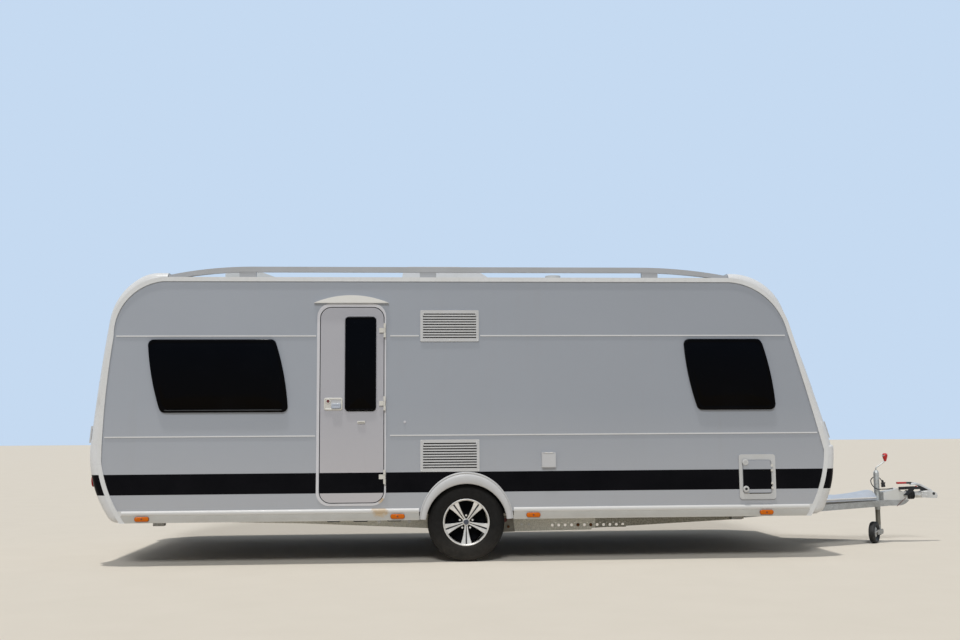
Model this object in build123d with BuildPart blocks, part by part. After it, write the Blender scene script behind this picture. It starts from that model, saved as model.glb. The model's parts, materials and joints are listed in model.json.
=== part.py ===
"""Single-axle travel caravan with its drawbar, jockey wheel and opening hatches.

Millimetres. +X points forward to the hitch, +Y to the caravan's left, +Z up. The
ground is Z = 0, and the origin lies under the middle of the overall length, on the
centreline. "Right" is the door side, at negative Y. Most places along the body are
given as a distance ahead of the axle, and fore() turns them into model X.
"""

import os
from math import atan2, cos, hypot, radians, sin

from build123d import *

os.makedirs("parts", exist_ok=True)

# Overall reach from the axle, and the cabin's box
TAIL_REACH = 3115.0
HITCH_REACH = 4650.0
AXLE_X = (TAIL_REACH - HITCH_REACH) / 2
WALL_Y = 1240.0
WALL_T = 32.0
WALL_LOW = 420.0
ROOF_EDGE = 2358.0
ROOF_CROWN = 2420.0
ROOF_T = 42.0
FLOOR_TOP = 428.0
FLOOR_T = 46.0
FLOOR_ENDS = (-2835.0, 2925.0)
SEAT = 0.3
RUNNING = 0.05
SIDES = (("right", -1), ("left", 1))

# Side outline of the cabin where the edge trims begin: three points for each arc, as
# (ahead of the axle, height), from the foot up to the roof
REAR_SEAM = (
    ((-2806, 352), (-2938, 590), (-3010, 860)),
    ((-3010, 860), (-2994, 1330), (-2936, 1900)),
    ((-2936, 1900), (-2824, 2213), (-2540, 2358)),
)
FRONT_SEAM = (
    ((2898, 352), (3028, 625), (3074, 905)),
    ((3074, 905), (2954, 1360), (2785, 1945)),
    ((2785, 1945), (2616, 2222), (2290, 2358)),
)

# End panels: outer skin as a roof radius, a long bowed face and a tucked-under foot
CORNER_R = 70.0
PANEL_T = 36.0
REAR_CAP_END = -2508.0
FRONT_CAP_END = 2292.0
REAR_SKIN = (
    (REAR_CAP_END, 2437), (-2590, 2437), (-2740, 2397), (-2988, 2036), (-3115, 1000), (-2955, 392),
    (-2880, 353),
)
FRONT_SKIN = (
    (FRONT_CAP_END, 2440), (2330, 2440), (2780, 2126), (3146, 1000), (3062, 400), (2993, 362),
)
BULGE_FACE = ((3181, 950), (3173, 760), (3085, 424))
BULGE_HEEL = (2999, 366)
BULGE_HALF = WALL_Y - 6.0
BULGE_R = 22.0

# Trims on the side wall's edge
TRIM_W = 36.0
TRIM_PROUD = 10.0
STRIP_H = 11.0
STRIP_PROUD = 5.0
SKIRT_LOW = 352.0
SKIRT_BEAD_LOW = 410.0
SKIRT_BEAD_HIGH = 450.0
SKIRT_PROUD = 14.0
SKIRT_ENDS = (-2836.0, 2926.0)
SKIRT_T = 8.0
ARCH_T = 15.0

# Wheels
TYRE_R = 325.0
TYRE_W = 195.0
TREAD_W = 152.0
RIM_R = 201.0
BEAD_R = 186.0
BARREL_T = 8.0
WHEEL_Y = 1108.0
SPOKES = 5
HUB_FACE_R = 75.0
SPOKE_R = BEAD_R - BARREL_T / 2
ARCH_R = 346.0
ARCH_HALF = 396.0
ARCH_TOP = 748.0
ARCH_LOW = 356.0
HOUSING_IN = 982.0
HOUSING_T = 6.0

# Side windows: parallelograms whose top leans back, in (rear foot, front foot, sill, head)
WINDOW_LEAN = 115.0
WINDOW_R = 46.0
WINDOW_BOW = 22.0
RIGHT_WINDOWS = ((-2540, -1490, 1254, 1866), (1990, 2665, 1254, 1864))
LEFT_WINDOWS = ((-2540, -1490, 1254, 1866), (-420, 380, 1254, 1780), (1990, 2665, 1254, 1864))
PANE_PROUD = 18.0
PANE_LIP = 5.0
FRAME_PROUD = 4.0
FRAME_LAND = 30.0
HOLE_INSET = 14.0

# Front and rear windows, as (half width, sill, head) on the end panels
FRONT_WINDOW = (760.0, 1330.0, 1840.0)
REAR_WINDOW = (470.0, 1330.0, 1800.0)

# Entrance door
DOOR_REAR = -1223.0
DOOR_FRONT = -694.0
DOOR_SILL = 501.0
DOOR_HEAD = 2134.0
DOOR_R = 92.0
DOOR_GAP = 7.0
DOOR_T = 34.0
DOOR_PROUD = 3.0
DOOR_FRAME = (30.0, 21.0, 27.0, 35.0)
DOOR_HINGE_OUT = 20.0
DOOR_HINGE_AHEAD = 9.0
DOOR_WINDOW = (-1018.0, -757.0, 1259.0, 2055.0)
DOOR_HINGES = (1940.0, 1324.0, 712.0)
HINGE_H = 118.0
HINGE_R = 9.0
HINGE_PIN_R = 5.0
HANDLE = (-1193.0, -1036.0, 1267.0, 1373.0)
HANDLE_PLATE_T = 9.0
GRIP_OUT = 24.0
CATCH_Z = 1167.0
CATCH_BAR = (-914.0, -847.0, CATCH_Z - 11, CATCH_Z + 11)
CATCH_AHEAD = -516.0
CANOPY = (-1281.0, -652.0, 2173.0, 2238.0)
CANOPY_OUT = 26.0

# Vents, hatches and inlet on the door side, as (rear, front, low, high)
VENTS = ((-385.0, 113.0, 1845.0, 2112.0), (-386.0, 112.0, 750.0, 1018.0))
VENT_PROUD = 9.0
VENT_SLOTS = 10
HATCH_FRAME = (2327.0, 2642.0, 495.0, 874.0)
HATCH_FLAP = (2405.0, 2600.0, 548.0, 820.0)
LEFT_HATCH_FRAME = (-1290.0, -870.0, 495.0, 874.0)
LEFT_HATCH_FLAP = (-1248.0, -948.0, 540.0, 830.0)
HATCH_GAP = 6.0
HATCH_PROUD = 12.0
FLAP_T = 30.0
INLET = (636.0, 756.0, 777.0, 905.0)
INLET_OUT = 24.0
INLET_LID_T = 6.0

# Gas locker in the nose
LOCKER_HALF = 830.0
LOCKER_LOW = 470.0
LOCKER_HIGH = 922.0
LOCKER_BACK = 2720.0
LOCKER_FRONT = 3200.0
LOCKER_T = 8.0
LID_GAP = 6.0
LID_T = 34.0
LID_FACE_AHEAD = 3181.6

# Lamps and handles
MARKERS = (-2668.0, -575.0, 561.0, 2552.0)
MARKER_L = 120.0
MARKER_H = 47.0
MARKER_Z = 385.0
MARKER_PROUD = 12.0
LAMP_Y = 1010.0
LAMP_W = 190.0
LAMP = (635.0, 965.0)
LAMP_PROUD = 16.0
HANDLE_Y = 1130.0
HANDLE_W = 30.0
HANDLE_SPAN = (1010.0, 1150.0)
HANDLE_FOOT = 25.0
HANDLE_PROUD = 26.0
HANDLE_T = 12.0

# Roof furniture
RAIL_Y = 1192.0
RAIL_W = 42.0
RAIL_H = 44.0
RAIL_LIFT = 46.0
RAIL_SEAT = ROOF_EDGE + 40.0
RAIL_TOP = RAIL_SEAT + RAIL_LIFT + RAIL_H
RAIL_ENDS = (-2506.0, 2290.0)
RAIL_BENDS = (-1800.0, 1500.0)
RAIL_TIP = 16.0
RAIL_FEET = (-1845.0, -318.0, 1603.0)
AIRCON = (-567.0, 343.0)
AIRCON_TOP = 2629.0
AIRCON_HALF = 330.0
AIRCON_R = 55.0
ROOFLIGHT = (-2170.0, -1610.0)
ROOFLIGHT_HALF = 400.0
ROOFLIGHT_TOP = 2590.0
FLUE_X = 915.0
FLUE_R = 75.0
FLUE_TOP = 2590.0

# Chassis
MEMBER_Y = 780.0
MEMBER_T = 4.0
MEMBER_FLANGE = 52.0
MEMBER_TOP = FLOOR_TOP - FLOOR_T - SEAT
MEMBER_DEEP = 212.0
MEMBER_SHALLOW = 317.0
MEMBER_REAR = -2350.0
MEMBER_KNEE = 2480.0
HOLE_R = 17.0
HOLE_SIDES = 12
HOLE_PITCH = 74.0
HOLE_ROW = (640.0, 12)
HOLE_Z = 272.0
AXLE_TUBE_R = 50.0
AXLE_TUBE_AHEAD = 165.0
AXLE_TUBE_Z = 290.0
ARM_T = 24.0
DRUM_R = 118.0
DRUM_T = 40.0

# Drawbar and hitch
DRAWBAR_HEAD = 4120.0
DRAWBAR_HEAD_Y = 64.0
HEAD_BLOCK_REAR = 4090.0
DRAWBAR_T = 44.0
DRAWBAR_NOSE = 4352.0
DRAWBAR_LOW = (309.0, 348.0)
DRAWBAR_HIGH = (372.0, 402.0)
COVER_REAR = 3225.0
COVER_FRONT = 4010.0
COVER_LOW = 420.0
COVER_T = 21.0
COVER_RISE = 70.0
COVER_BULGE = ((3560.0, 190.0), (3990.0, 80.0))
COVER_DRAFT = 18.0
HOUSING_REAR = 4100.0
HOUSING_FRONT = 4348.0
HOUSING_HALF = 58.0
HOUSING_NOSE = 4336.0
HOUSING_SIDE = ((HOUSING_REAR, 478), (4200, 497), (4234, 515), (4262, 500), (4312, 458), (HOUSING_NOSE, 440))
BELLOWS_FRONT = 4420.0
BELLOWS_R = 43.0
BELLOWS_FOLDS = 4
BELLOWS_SIDES = 20
BELLOWS_DEPTH = 10.0
HITCH_Z = 448.0
BALL_R = 25.0
BALL_X = 4596.0
BALL_CLEAR = 0.4
HEAD_REAR = 4490.0
HEAD_HALF = 34.0
LEVER_W = 30.0
STABILISER_TIP = 4265.0
BRAKE_LEVER_T = 22.0
BRAKE_LEVER = (
    (4296, 446), (4330, 446), (4400, 503), (4508, 504), (4508, 512), (4470, 524), (4400, 532), (4250, 527),
    (4250, 500), (4350, 503),
)

# Cables at the hitch, with their routes as (ahead of the axle, left, height)
LEAD_R = 4.5
LEAD_SIDES = 8
LEAD_ROUTE = (
    (4215, -12, 512), (4160, -34, 507), (4100, -46, 506), (4043, -42, 508), (4008, -22, 545), (4018, 30, 592),
    (4066, 36, 626), (4096, -4, 606), (4106, -40, 560),
)
WIRE_R = 2.0
BREAKAWAY = ((4318, -72, 428), (4223, -68, 341))

# Jockey wheel
JOCKEY_X = 4060.0
JOCKEY_TRAIL = 138.0
JOCKEY_YAW = 50.0
JOCKEY_R = 102.0
JOCKEY_W = 58.0
JOCKEY_TUBE_R = 26.0
JOCKEY_LEG_R = 23.0
JOCKEY_CLAMP_LOW = 309.0
CLAMP_REACH = HEAD_BLOCK_REAR - JOCKEY_X - SEAT
CLAMP_HALF = 50.0
JOCKEY_CAP = 664.0
CRANK_RISE = (46.0, 112.0)
CRANK_REACH = 94.0
CRANK_ROD_R = 6.0
CRANK_BEND_R = 22.0
KNOB_R = 24.0
KNOB_H = 75.0
FORK_LOW = 66.0
FORK_HIGH = 134.0
FORK_T = 5.0
SPIGOT_R = 12.0
FORK_PIN_R = 8.0

# Corner steadies, as (hinge ahead of the axle, direction of the foot)
STEADY_L = 400.0
STEADY_Y = 930.0
STEADY_Z = 352.0
STEADY_W = 46.0
STEADY_PIN_R = 6.0
STEADY_EYE_R = 14.0
STEADY_FOOT = (90.0, 90.0, 32.5)
STEADIES = (("rear", -2240.0, -1), ("front", 2020.0, 1))


def fore(distance):
    """Model X of a place that lies a distance ahead of the axle."""
    return AXLE_X + distance


def placed(points):
    """Side-view points as (ahead of the axle, height), moved to model X."""
    return [(fore(x), z) for x, z in points]


def keep(piece, name):
    """Label a finished piece and write it as its own file."""
    piece.part.label = name
    export_step(piece.part, f"parts/{name}.step")


def wall_plane(side, out=0.0):
    """Plane on a side wall's outer face, with X forward, Z up and its normal outward."""
    if side < 0:
        return Plane((0, -(WALL_Y + out), 0), x_dir=(1, 0, 0), z_dir=(0, -1, 0))
    return Plane((0, WALL_Y + out, 0), x_dir=(-1, 0, 0), z_dir=(0, 1, 0))


def on_wall(side, distance):
    """Sketch X on a wall plane of a place ahead of the axle."""
    return -side * fore(distance)


def seam_sketch(grow):
    """Side outline of the cabin, grown all round."""
    with BuildSketch(Plane.XZ) as outline:
        with BuildLine():
            for arc in REAR_SEAM + tuple(reversed(FRONT_SEAM)):
                ThreePointArc(*placed(arc))
            Line(*placed((REAR_SEAM[-1][-1], FRONT_SEAM[-1][-1])))
            Line(*placed((REAR_SEAM[0][0], FRONT_SEAM[0][0])))
        make_face()
        if grow:
            offset(amount=grow)
    return outline.sketch


def box_at(low, high):
    """Block between two corners, in the block that is being built."""
    size = [abs(b - a) for a, b in zip(low, high)]
    middle = [(a + b) / 2 for a, b in zip(low, high)]
    with Locations(tuple(middle)):
        block = Box(*size)
    return block


def lean_outline(side, window, inset):
    """Window outline on a wall plane, inset all round."""
    rear, front, sill, head = window
    with BuildSketch(Plane.XY) as outline:
        with BuildLine():
            flanks = []
            for foot, way in ((rear, -1), (front, 1)):
                belly = foot - WINDOW_LEAN / 2 + way * WINDOW_BOW
                low = (on_wall(side, foot), sill)
                high = (on_wall(side, foot - WINDOW_LEAN), head)
                flanks.append(ThreePointArc(low, (on_wall(side, belly), (sill + head) / 2), high))
            for end in (0, 1):
                Line(flanks[0] @ end, flanks[1] @ end)
        make_face()
        fillet(outline.vertices(), WINDOW_R)
        if inset:
            offset(amount=-inset)
    return outline.sketch


def wall_rectangle(side, bounds, radius, inset=0.0):
    """Rectangle on a wall plane from (rear, front, low, high), its corners rounded where asked."""
    rear, front, low, high = bounds
    width = front - rear - 2 * inset
    height = high - low - 2 * inset
    centre = (on_wall(side, (rear + front) / 2), (low + high) / 2)
    with BuildSketch(Plane.XY) as outline:
        with Locations(centre):
            Rectangle(width, height)
        if radius:
            fillet(outline.vertices(), radius)
    return outline.sketch


def grown(bounds, left, right=None, low=None, high=None):
    """Bounds grown at the rear, front, bottom and top."""
    right = left if right is None else right
    low = left if low is None else low
    high = left if high is None else high
    return (bounds[0] - left, bounds[1] + right, bounds[2] - low, bounds[3] + high)


DOOR = (DOOR_REAR, DOOR_FRONT, DOOR_SILL, DOOR_HEAD)
DOOR_OUTER = grown(DOOR, *DOOR_FRAME)


def side_wall(side, windows, boxes):
    """Flat sandwich wall with its windows, door, hatches and wheel arch cut."""
    with BuildPart() as wall:
        with BuildSketch(Plane.XZ.offset(-side * WALL_Y)) as outline:
            add(seam_sketch(TRIM_W / 2))
            with Locations((AXLE_X, TYRE_R)):
                Circle(ARCH_R, mode=Mode.SUBTRACT)
            with Locations((AXLE_X, WALL_LOW - 50)):
                Rectangle(2 * ARCH_R, 2 * (WALL_LOW - 50 - TYRE_R) + 100, mode=Mode.SUBTRACT)
        extrude(amount=side * WALL_T)
        split(bisect_by=Plane.XY.offset(WALL_LOW), keep=Keep.TOP)
        for window in windows:
            with BuildSketch(wall_plane(side)):
                add(lean_outline(side, window, HOLE_INSET))
            extrude(amount=-2 * WALL_T, mode=Mode.SUBTRACT)
        for bounds, radius in boxes:
            with BuildSketch(wall_plane(side)):
                add(wall_rectangle(side, bounds, radius))
            extrude(amount=-2 * WALL_T, mode=Mode.SUBTRACT)
    return wall


RIGHT_BOXES = (
    (grown(DOOR_OUTER, -12), DOOR_R + 6),
    (grown(HATCH_FRAME, -12), 0),
    (grown(VENTS[0], -22), 0),
    (grown(VENTS[1], -22), 0),
    (grown(INLET, -14), 0),
)
LEFT_BOXES = ((grown(LEFT_HATCH_FRAME, -12), 0),)

for side_name, side, windows, boxes in (
    ("right", -1, RIGHT_WINDOWS, RIGHT_BOXES),
    ("left", 1, LEFT_WINDOWS, LEFT_BOXES),
):
    wall = side_wall(side, windows, boxes)
    keep(wall, f"side_wall_{side_name}")


# End panels, roof and floor


def skin_sketch(points, grow=0.0):
    """Side view of an end panel's outer form: a roof line, then tangent arcs to its heel."""
    stations = placed(points)
    with BuildSketch(Plane.XZ) as outline:
        with BuildLine():
            edge = Line(stations[0], stations[1])
            for station in stations[2:]:
                edge = TangentArc(edge @ 1, station, tangent=edge % 1)
            Polyline(stations[-1], (stations[0][0], stations[-1][1]), stations[0])
        make_face()
        if grow:
            offset(amount=grow)
    return outline.sketch


def end_block(points, grow=0.0, corner=0.0):
    """End panel's outer form as a block, with its side corners rounded where asked."""
    half = WALL_Y + grow
    back = fore(points[0][0])
    floor = points[-1][1] - grow
    with BuildPart() as block:
        with BuildSketch(Plane.XZ.offset(half)):
            add(skin_sketch(points, grow))
        extrude(amount=-2 * half)
        if corner:
            sides = block.edges().filter_by(lambda e: abs(abs(e.center().Y) - half) < 1)
            long_sides = sides.filter_by(lambda e: abs(e.center().X - back) > abs(grow) + 1)
            fillet(long_sides.filter_by(lambda e: e.center().Z > floor + 1), corner)
    return block.part


def skin_layer(points, half, under, over):
    """Layer on an end panel's skin, between two heights above it, for its flat width."""
    with BuildPart() as layer:
        with BuildSketch(Plane.XZ.offset(half)):
            add(skin_sketch(points, over))
        extrude(amount=-2 * half)
        with BuildSketch(Plane.XZ.offset(half)):
            add(skin_sketch(points, under))
        extrude(amount=-2 * half, mode=Mode.SUBTRACT)
    return layer.part


def cabin_cutter(grow, half):
    """Block of the cabin's side outline, to cut what closes its ends."""
    with BuildPart() as cutter:
        with BuildSketch(Plane.XZ.offset(half)):
            add(seam_sketch(grow))
        extrude(amount=-2 * half)
    return cutter.part


def bulge_block():
    """Locker bulge across the foot of the nose."""
    with BuildPart() as block:
        with BuildSketch(Plane.XZ.offset(BULGE_HALF)):
            with BuildLine():
                face = ThreePointArc(*placed(BULGE_FACE))
                heel = TangentArc(face @ 1, placed([BULGE_HEEL])[0], tangent=face % 1)
                inside = face.position_at(0).X - 4 * CORNER_R
                Polyline(heel @ 1, (inside, BULGE_HEEL[1]), (inside, BULGE_FACE[0][1]), face @ 0)
            make_face()
        extrude(amount=-2 * BULGE_HALF)
        sides = block.edges().filter_by(lambda e: abs(abs(e.center().Y) - BULGE_HALF) < 1)
        fillet(sides.filter_by(GeomType.CIRCLE), CORNER_R - 8)
        brow = block.edges().filter_by(lambda e: abs(e.center().Z - BULGE_FACE[0][1]) < 1)
        fillet(brow.filter_by(lambda e: e.center().X > inside + 3 * CORNER_R), BULGE_R)
    return block.part


def face_prism(half, low, high, radius, ahead, start=0.0):
    """Rounded prism along X that cuts a window or lid out of an end panel."""
    with BuildPart() as prism:
        with BuildSketch(Plane.YZ.offset(start)):
            with Locations((0, (low + high) / 2)):
                RectangleRounded(2 * half, high - low, radius)
        extrude(amount=ahead)
    return prism.part


def end_window(points, window, ahead, under, over, radius, border):
    """Layer that lies on an end panel's skin inside a rounded window outline."""
    half, low, high = window
    start = fore(points[0][0]) + ahead / 50
    prism = face_prism(half + border, low - border, high + border, radius + border, ahead, start)
    with BuildPart() as layer:
        add(skin_layer(points, half + 2 * border, under, over))
        add(prism, mode=Mode.INTERSECT)
    return layer.part


def between(start, end, out, low, high, thick):
    """Upright plate from one plan point to another, with its own top and bottom lines."""
    length = hypot(end[0] - start[0], end[1] - start[1])
    run = ((end[0] - start[0]) / length, (end[1] - start[1]) / length, 0)
    plane = Plane((start[0], start[1], 0), x_dir=run, z_dir=(-out * run[1], out * run[0], 0))
    flip = 1 if plane.y_dir.Z > 0 else -1
    corners = ((0, low[0]), (length, low[1]), (length, high[1]), (0, high[0]))
    with BuildPart() as plate:
        with BuildSketch(plane):
            with BuildLine():
                Polyline(*[(s, flip * z) for s, z in corners], close=True)
            make_face()
        extrude(amount=thick / 2, both=True)
    return plate.part


def drawbar_member(side, room=0.0):
    """One leg of the drawbar's V, with room round it where it cuts another piece."""
    knee = MEMBER_Y + DRAWBAR_T / 2
    lean = atan2(knee - DRAWBAR_HEAD_Y, DRAWBAR_HEAD - MEMBER_KNEE)
    start = (fore(MEMBER_KNEE) + DRAWBAR_T / 2 * sin(lean) + SEAT, side * knee)
    end = (fore(DRAWBAR_HEAD), side * DRAWBAR_HEAD_Y)
    low = (DRAWBAR_LOW[0] - room, DRAWBAR_LOW[1] - room)
    high = (DRAWBAR_HIGH[0] + room, DRAWBAR_HIGH[1] + room)
    return between(start, end, side, low, high, DRAWBAR_T + 2 * room)


EDGE_GROW = TRIM_W / 2 + SEAT
AHEAD = 5000.0

with BuildPart() as rear_panel:
    add(end_block(REAR_SKIN, corner=CORNER_R))
    add(cabin_cutter(EDGE_GROW, WALL_Y + 1), mode=Mode.SUBTRACT)
    add(end_block(REAR_SKIN, -PANEL_T), mode=Mode.SUBTRACT)
    half, low, high = REAR_WINDOW
    add(face_prism(half - 20, low + 20, high - 20, 40, -AHEAD), mode=Mode.SUBTRACT)
keep(rear_panel, "rear_panel")

with BuildPart() as front_panel:
    add(end_block(FRONT_SKIN, corner=CORNER_R))
    add(bulge_block())
    add(cabin_cutter(EDGE_GROW, WALL_Y + 1), mode=Mode.SUBTRACT)
    add(end_block(FRONT_SKIN, -PANEL_T), mode=Mode.SUBTRACT)
    half, low, high = FRONT_WINDOW
    add(face_prism(half - 20, low + 20, high - 20, 40, AHEAD), mode=Mode.SUBTRACT)
    add(face_prism(LOCKER_HALF, LOCKER_LOW, LOCKER_HIGH, 30, AHEAD), mode=Mode.SUBTRACT)
    for _, side in SIDES:
        add(drawbar_member(side, 4), mode=Mode.SUBTRACT)
keep(front_panel, "front_panel")

with BuildPart() as roof_panel:
    with BuildSketch(Plane.YZ.offset(fore(REAR_CAP_END + SEAT))):
        wall_top = ROOF_EDGE + EDGE_GROW
        with BuildLine():
            ThreePointArc((-WALL_Y, wall_top + 16), (0, ROOF_CROWN), (WALL_Y, wall_top + 16))
            inner = WALL_Y - WALL_T - SEAT
            under = wall_top + 16 - ROOF_T
            for way in (-1, 1):
                Polyline(
                    (way * WALL_Y, wall_top + 16), (way * WALL_Y, wall_top), (way * inner, wall_top),
                    (way * inner, under),
                )
            ThreePointArc((-inner, under), (0, ROOF_CROWN - ROOF_T), (inner, under))
        make_face()
    extrude(amount=FRONT_CAP_END - REAR_CAP_END - 2 * SEAT)
    rear, front = ROOFLIGHT
    with Locations((fore((rear + front) / 2), 0, ROOF_CROWN)):
        Box(front - rear - 60, 2 * ROOFLIGHT_HALF - 60, 200, mode=Mode.SUBTRACT)
keep(roof_panel, "roof_panel")

with BuildPart() as floor_panel:
    floor_half = WALL_Y - WALL_T - SEAT
    rear, front = [fore(place) for place in FLOOR_ENDS]
    box_at((rear, -floor_half, FLOOR_TOP - FLOOR_T), (front, floor_half, FLOOR_TOP))
    for _, side in SIDES:
        with Locations((AXLE_X, side * WALL_Y, FLOOR_TOP)):
            Box(
                2 * (ARCH_R + HOUSING_T + SEAT),
                2 * (WALL_Y - HOUSING_IN + SEAT),
                3 * FLOOR_T,
                mode=Mode.SUBTRACT,
            )
keep(floor_panel, "floor_panel")

with BuildPart() as gas_locker_box:
    outer_half = LOCKER_HALF + 20
    back = (fore(LOCKER_BACK), -outer_half, LOCKER_LOW - 20)
    box_at(back, (fore(LOCKER_FRONT), outer_half, LOCKER_HIGH + 14))
    add(end_block(FRONT_SKIN, -PANEL_T - SEAT), mode=Mode.INTERSECT)
    room = (2 * LOCKER_FRONT - 2 * LOCKER_BACK, 2 * outer_half - 2 * LOCKER_T, LOCKER_HIGH - LOCKER_LOW + 18)
    with Locations((fore(LOCKER_BACK + LOCKER_T) + room[0] / 2, 0, (LOCKER_LOW + LOCKER_HIGH) / 2)):
        Box(*room, mode=Mode.SUBTRACT)
keep(gas_locker_box, "gas_locker_box")

# Edge trims, thin wall strips, skirts and wheel arches

with BuildPart() as edge_trims:
    for _, side in SIDES:
        with BuildSketch(Plane.XZ.offset(-side * (WALL_Y + SEAT))):
            add(seam_sketch(TRIM_W))
            add(seam_sketch(0), mode=Mode.SUBTRACT)
            with Locations((0, 0)):
                Rectangle(2 * AHEAD, 2 * SKIRT_LOW, mode=Mode.SUBTRACT)
        extrude(amount=-side * (TRIM_PROUD - SEAT))
keep(edge_trims, "edge_trims")

# Strips on the side walls as (rear, front, height), for the door side and the left
STRIPS = {
    -1: (
        (-2916, -1262, 1894), (-640, -396, 1894), (124, 2770, 1894),
        (-2990, -1262, 1055), (-640, 3020, 1055),
    ),
    1: ((-2916, 2770, 1894), (-2990, 3020, 1055)),
}

with BuildPart() as wall_strips:
    for _, side in SIDES:
        for rear, front, height in STRIPS[side]:
            low_corner = (fore(rear), side * (WALL_Y + SEAT), height - STRIP_H / 2)
            high_corner = (fore(front), side * (WALL_Y + STRIP_PROUD), height + STRIP_H / 2)
            box_at(low_corner, high_corner)
keep(wall_strips, "wall_strips")

with BuildPart() as side_skirts:
    bead_r = (SKIRT_BEAD_HIGH - SKIRT_BEAD_LOW) / 2
    for _, side in SIDES:
        with BuildSketch(Plane.XZ.offset(-side * (WALL_Y + SEAT))):
            add(seam_sketch(-SEAT))
            with Locations((0, SKIRT_BEAD_HIGH + ROOF_CROWN)):
                Rectangle(2 * AHEAD, 2 * ROOF_CROWN, mode=Mode.SUBTRACT)
            with Locations((AXLE_X, SKIRT_LOW)):
                Rectangle(2 * (ARCH_HALF + SEAT), 400, mode=Mode.SUBTRACT)
        extrude(amount=-side * SKIRT_T)
        for rear, front in ((SKIRT_ENDS[0], -ARCH_HALF - SEAT), (ARCH_HALF + SEAT, SKIRT_ENDS[1])):
            with BuildSketch(Plane.YZ.offset(fore(rear))):
                with Locations((side * (WALL_Y + SKIRT_T / 2), SKIRT_BEAD_LOW + bead_r)):
                    Ellipse(SKIRT_PROUD, bead_r)
                with Locations((side * (WALL_Y + SEAT - 50), SKIRT_BEAD_LOW + bead_r)):
                    Rectangle(100, 4 * bead_r, mode=Mode.SUBTRACT)
            extrude(amount=front - rear)
keep(side_skirts, "side_skirts")

with BuildPart() as wheel_arches:
    for _, side in SIDES:
        with BuildSketch(Plane.XZ.offset(-side * (WALL_Y + SEAT))):
            with Locations((AXLE_X, TYRE_R)):
                Ellipse(ARCH_HALF, ARCH_TOP - TYRE_R)
            with Locations((AXLE_X, (TYRE_R + ARCH_LOW) / 2)):
                Rectangle(2 * ARCH_HALF, abs(TYRE_R - ARCH_LOW), mode=Mode.SUBTRACT)
            with Locations((AXLE_X, ARCH_LOW - 400)):
                Rectangle(2 * ARCH_HALF, 800, mode=Mode.SUBTRACT)
            with Locations((AXLE_X, TYRE_R)):
                Circle(ARCH_R - 4, mode=Mode.SUBTRACT)
        extrude(amount=-side * ARCH_T)
keep(wheel_arches, "wheel_arches")

with BuildPart() as wheel_housings:
    for _, side in SIDES:
        with BuildSketch(Plane.XZ.offset(-side * HOUSING_IN)):
            with Locations((AXLE_X, TYRE_R)):
                Circle(ARCH_R + HOUSING_T)
        extrude(amount=-side * (WALL_Y - WALL_T - SEAT - HOUSING_IN))
        with BuildSketch(Plane.XZ.offset(-side * (HOUSING_IN + HOUSING_T))):
            with Locations((AXLE_X, TYRE_R)):
                Circle(ARCH_R)
        extrude(amount=-side * 300, mode=Mode.SUBTRACT)
    split(bisect_by=Plane.XY.offset(FLOOR_TOP - FLOOR_T), keep=Keep.TOP)
keep(wheel_housings, "wheel_housings")

# Windows

with BuildPart() as window_frames:
    for (_, side), windows in zip(SIDES, (RIGHT_WINDOWS, LEFT_WINDOWS)):
        for window in windows:
            with BuildSketch(wall_plane(side, SEAT)):
                add(lean_outline(side, window, 0))
                add(lean_outline(side, window, FRAME_LAND), mode=Mode.SUBTRACT)
            extrude(amount=FRAME_PROUD)
    for points, window, ahead in (
        (FRONT_SKIN, FRONT_WINDOW, AHEAD),
        (REAR_SKIN, REAR_WINDOW, -AHEAD),
    ):
        half, low, high = window
        with BuildPart(mode=Mode.PRIVATE) as ring:
            add(end_window(points, window, ahead, SEAT, FRAME_PROUD, 60, 14))
            add(face_prism(half - 30, low + 30, high - 30, 40, ahead), mode=Mode.SUBTRACT)
        add(ring.part)
keep(window_frames, "window_frames")

with BuildPart() as window_panes:
    for (_, side), windows in zip(SIDES, (RIGHT_WINDOWS, LEFT_WINDOWS)):
        for window in windows:
            with BuildSketch(wall_plane(side, FRAME_PROUD + 2 * SEAT)):
                add(lean_outline(side, window, PANE_LIP))
            extrude(amount=PANE_PROUD - FRAME_PROUD)
    for points, window, ahead in (
        (FRONT_SKIN, FRONT_WINDOW, AHEAD),
        (REAR_SKIN, REAR_WINDOW, -AHEAD),
    ):
        under = FRAME_PROUD + SEAT
        with BuildPart(mode=Mode.PRIVATE) as pane:
            add(end_window(points, window, ahead, under, PANE_PROUD, 60, 8))
        add(pane.part)
keep(window_panes, "window_panes")

# Entrance door, hinged on its front edge and proud of the wall


def wall_ring(side, outer, inner, outer_r, inner_r, out, depth):
    """Rounded frame on a side wall, from a height above it down to a depth below."""
    with BuildPart() as ring:
        with BuildSketch(wall_plane(side, out)):
            add(wall_rectangle(side, outer, outer_r))
            add(wall_rectangle(side, inner, inner_r), mode=Mode.SUBTRACT)
        extrude(amount=-(out + depth))
    return ring.part


def wall_slab(side, bounds, radius, out, depth):
    """Rounded slab on a side wall, from a height above it down to a depth below."""
    with BuildPart() as slab:
        with BuildSketch(wall_plane(side, out)):
            add(wall_rectangle(side, bounds, radius))
        extrude(amount=-(out + depth))
    return slab.part


def knuckle(point, way, radius, length, bore=0.0):
    """Round bar or ring centred on a point, along a direction."""
    with BuildPart(Plane(point, z_dir=way)) as ring:
        Cylinder(radius, length)
        if bore:
            Cylinder(bore, length, mode=Mode.SUBTRACT)
    return ring.part


def along(point, way, distance):
    """Point moved along a direction."""
    return tuple(start + distance * step for start, step in zip(point, way))


HATCH_FACE = WALL_Y + HATCH_PROUD + SEAT
INLET_FACE = WALL_Y + INLET_OUT + SEAT
LID_FACE = fore(LID_FACE_AHEAD) + SEAT

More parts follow.
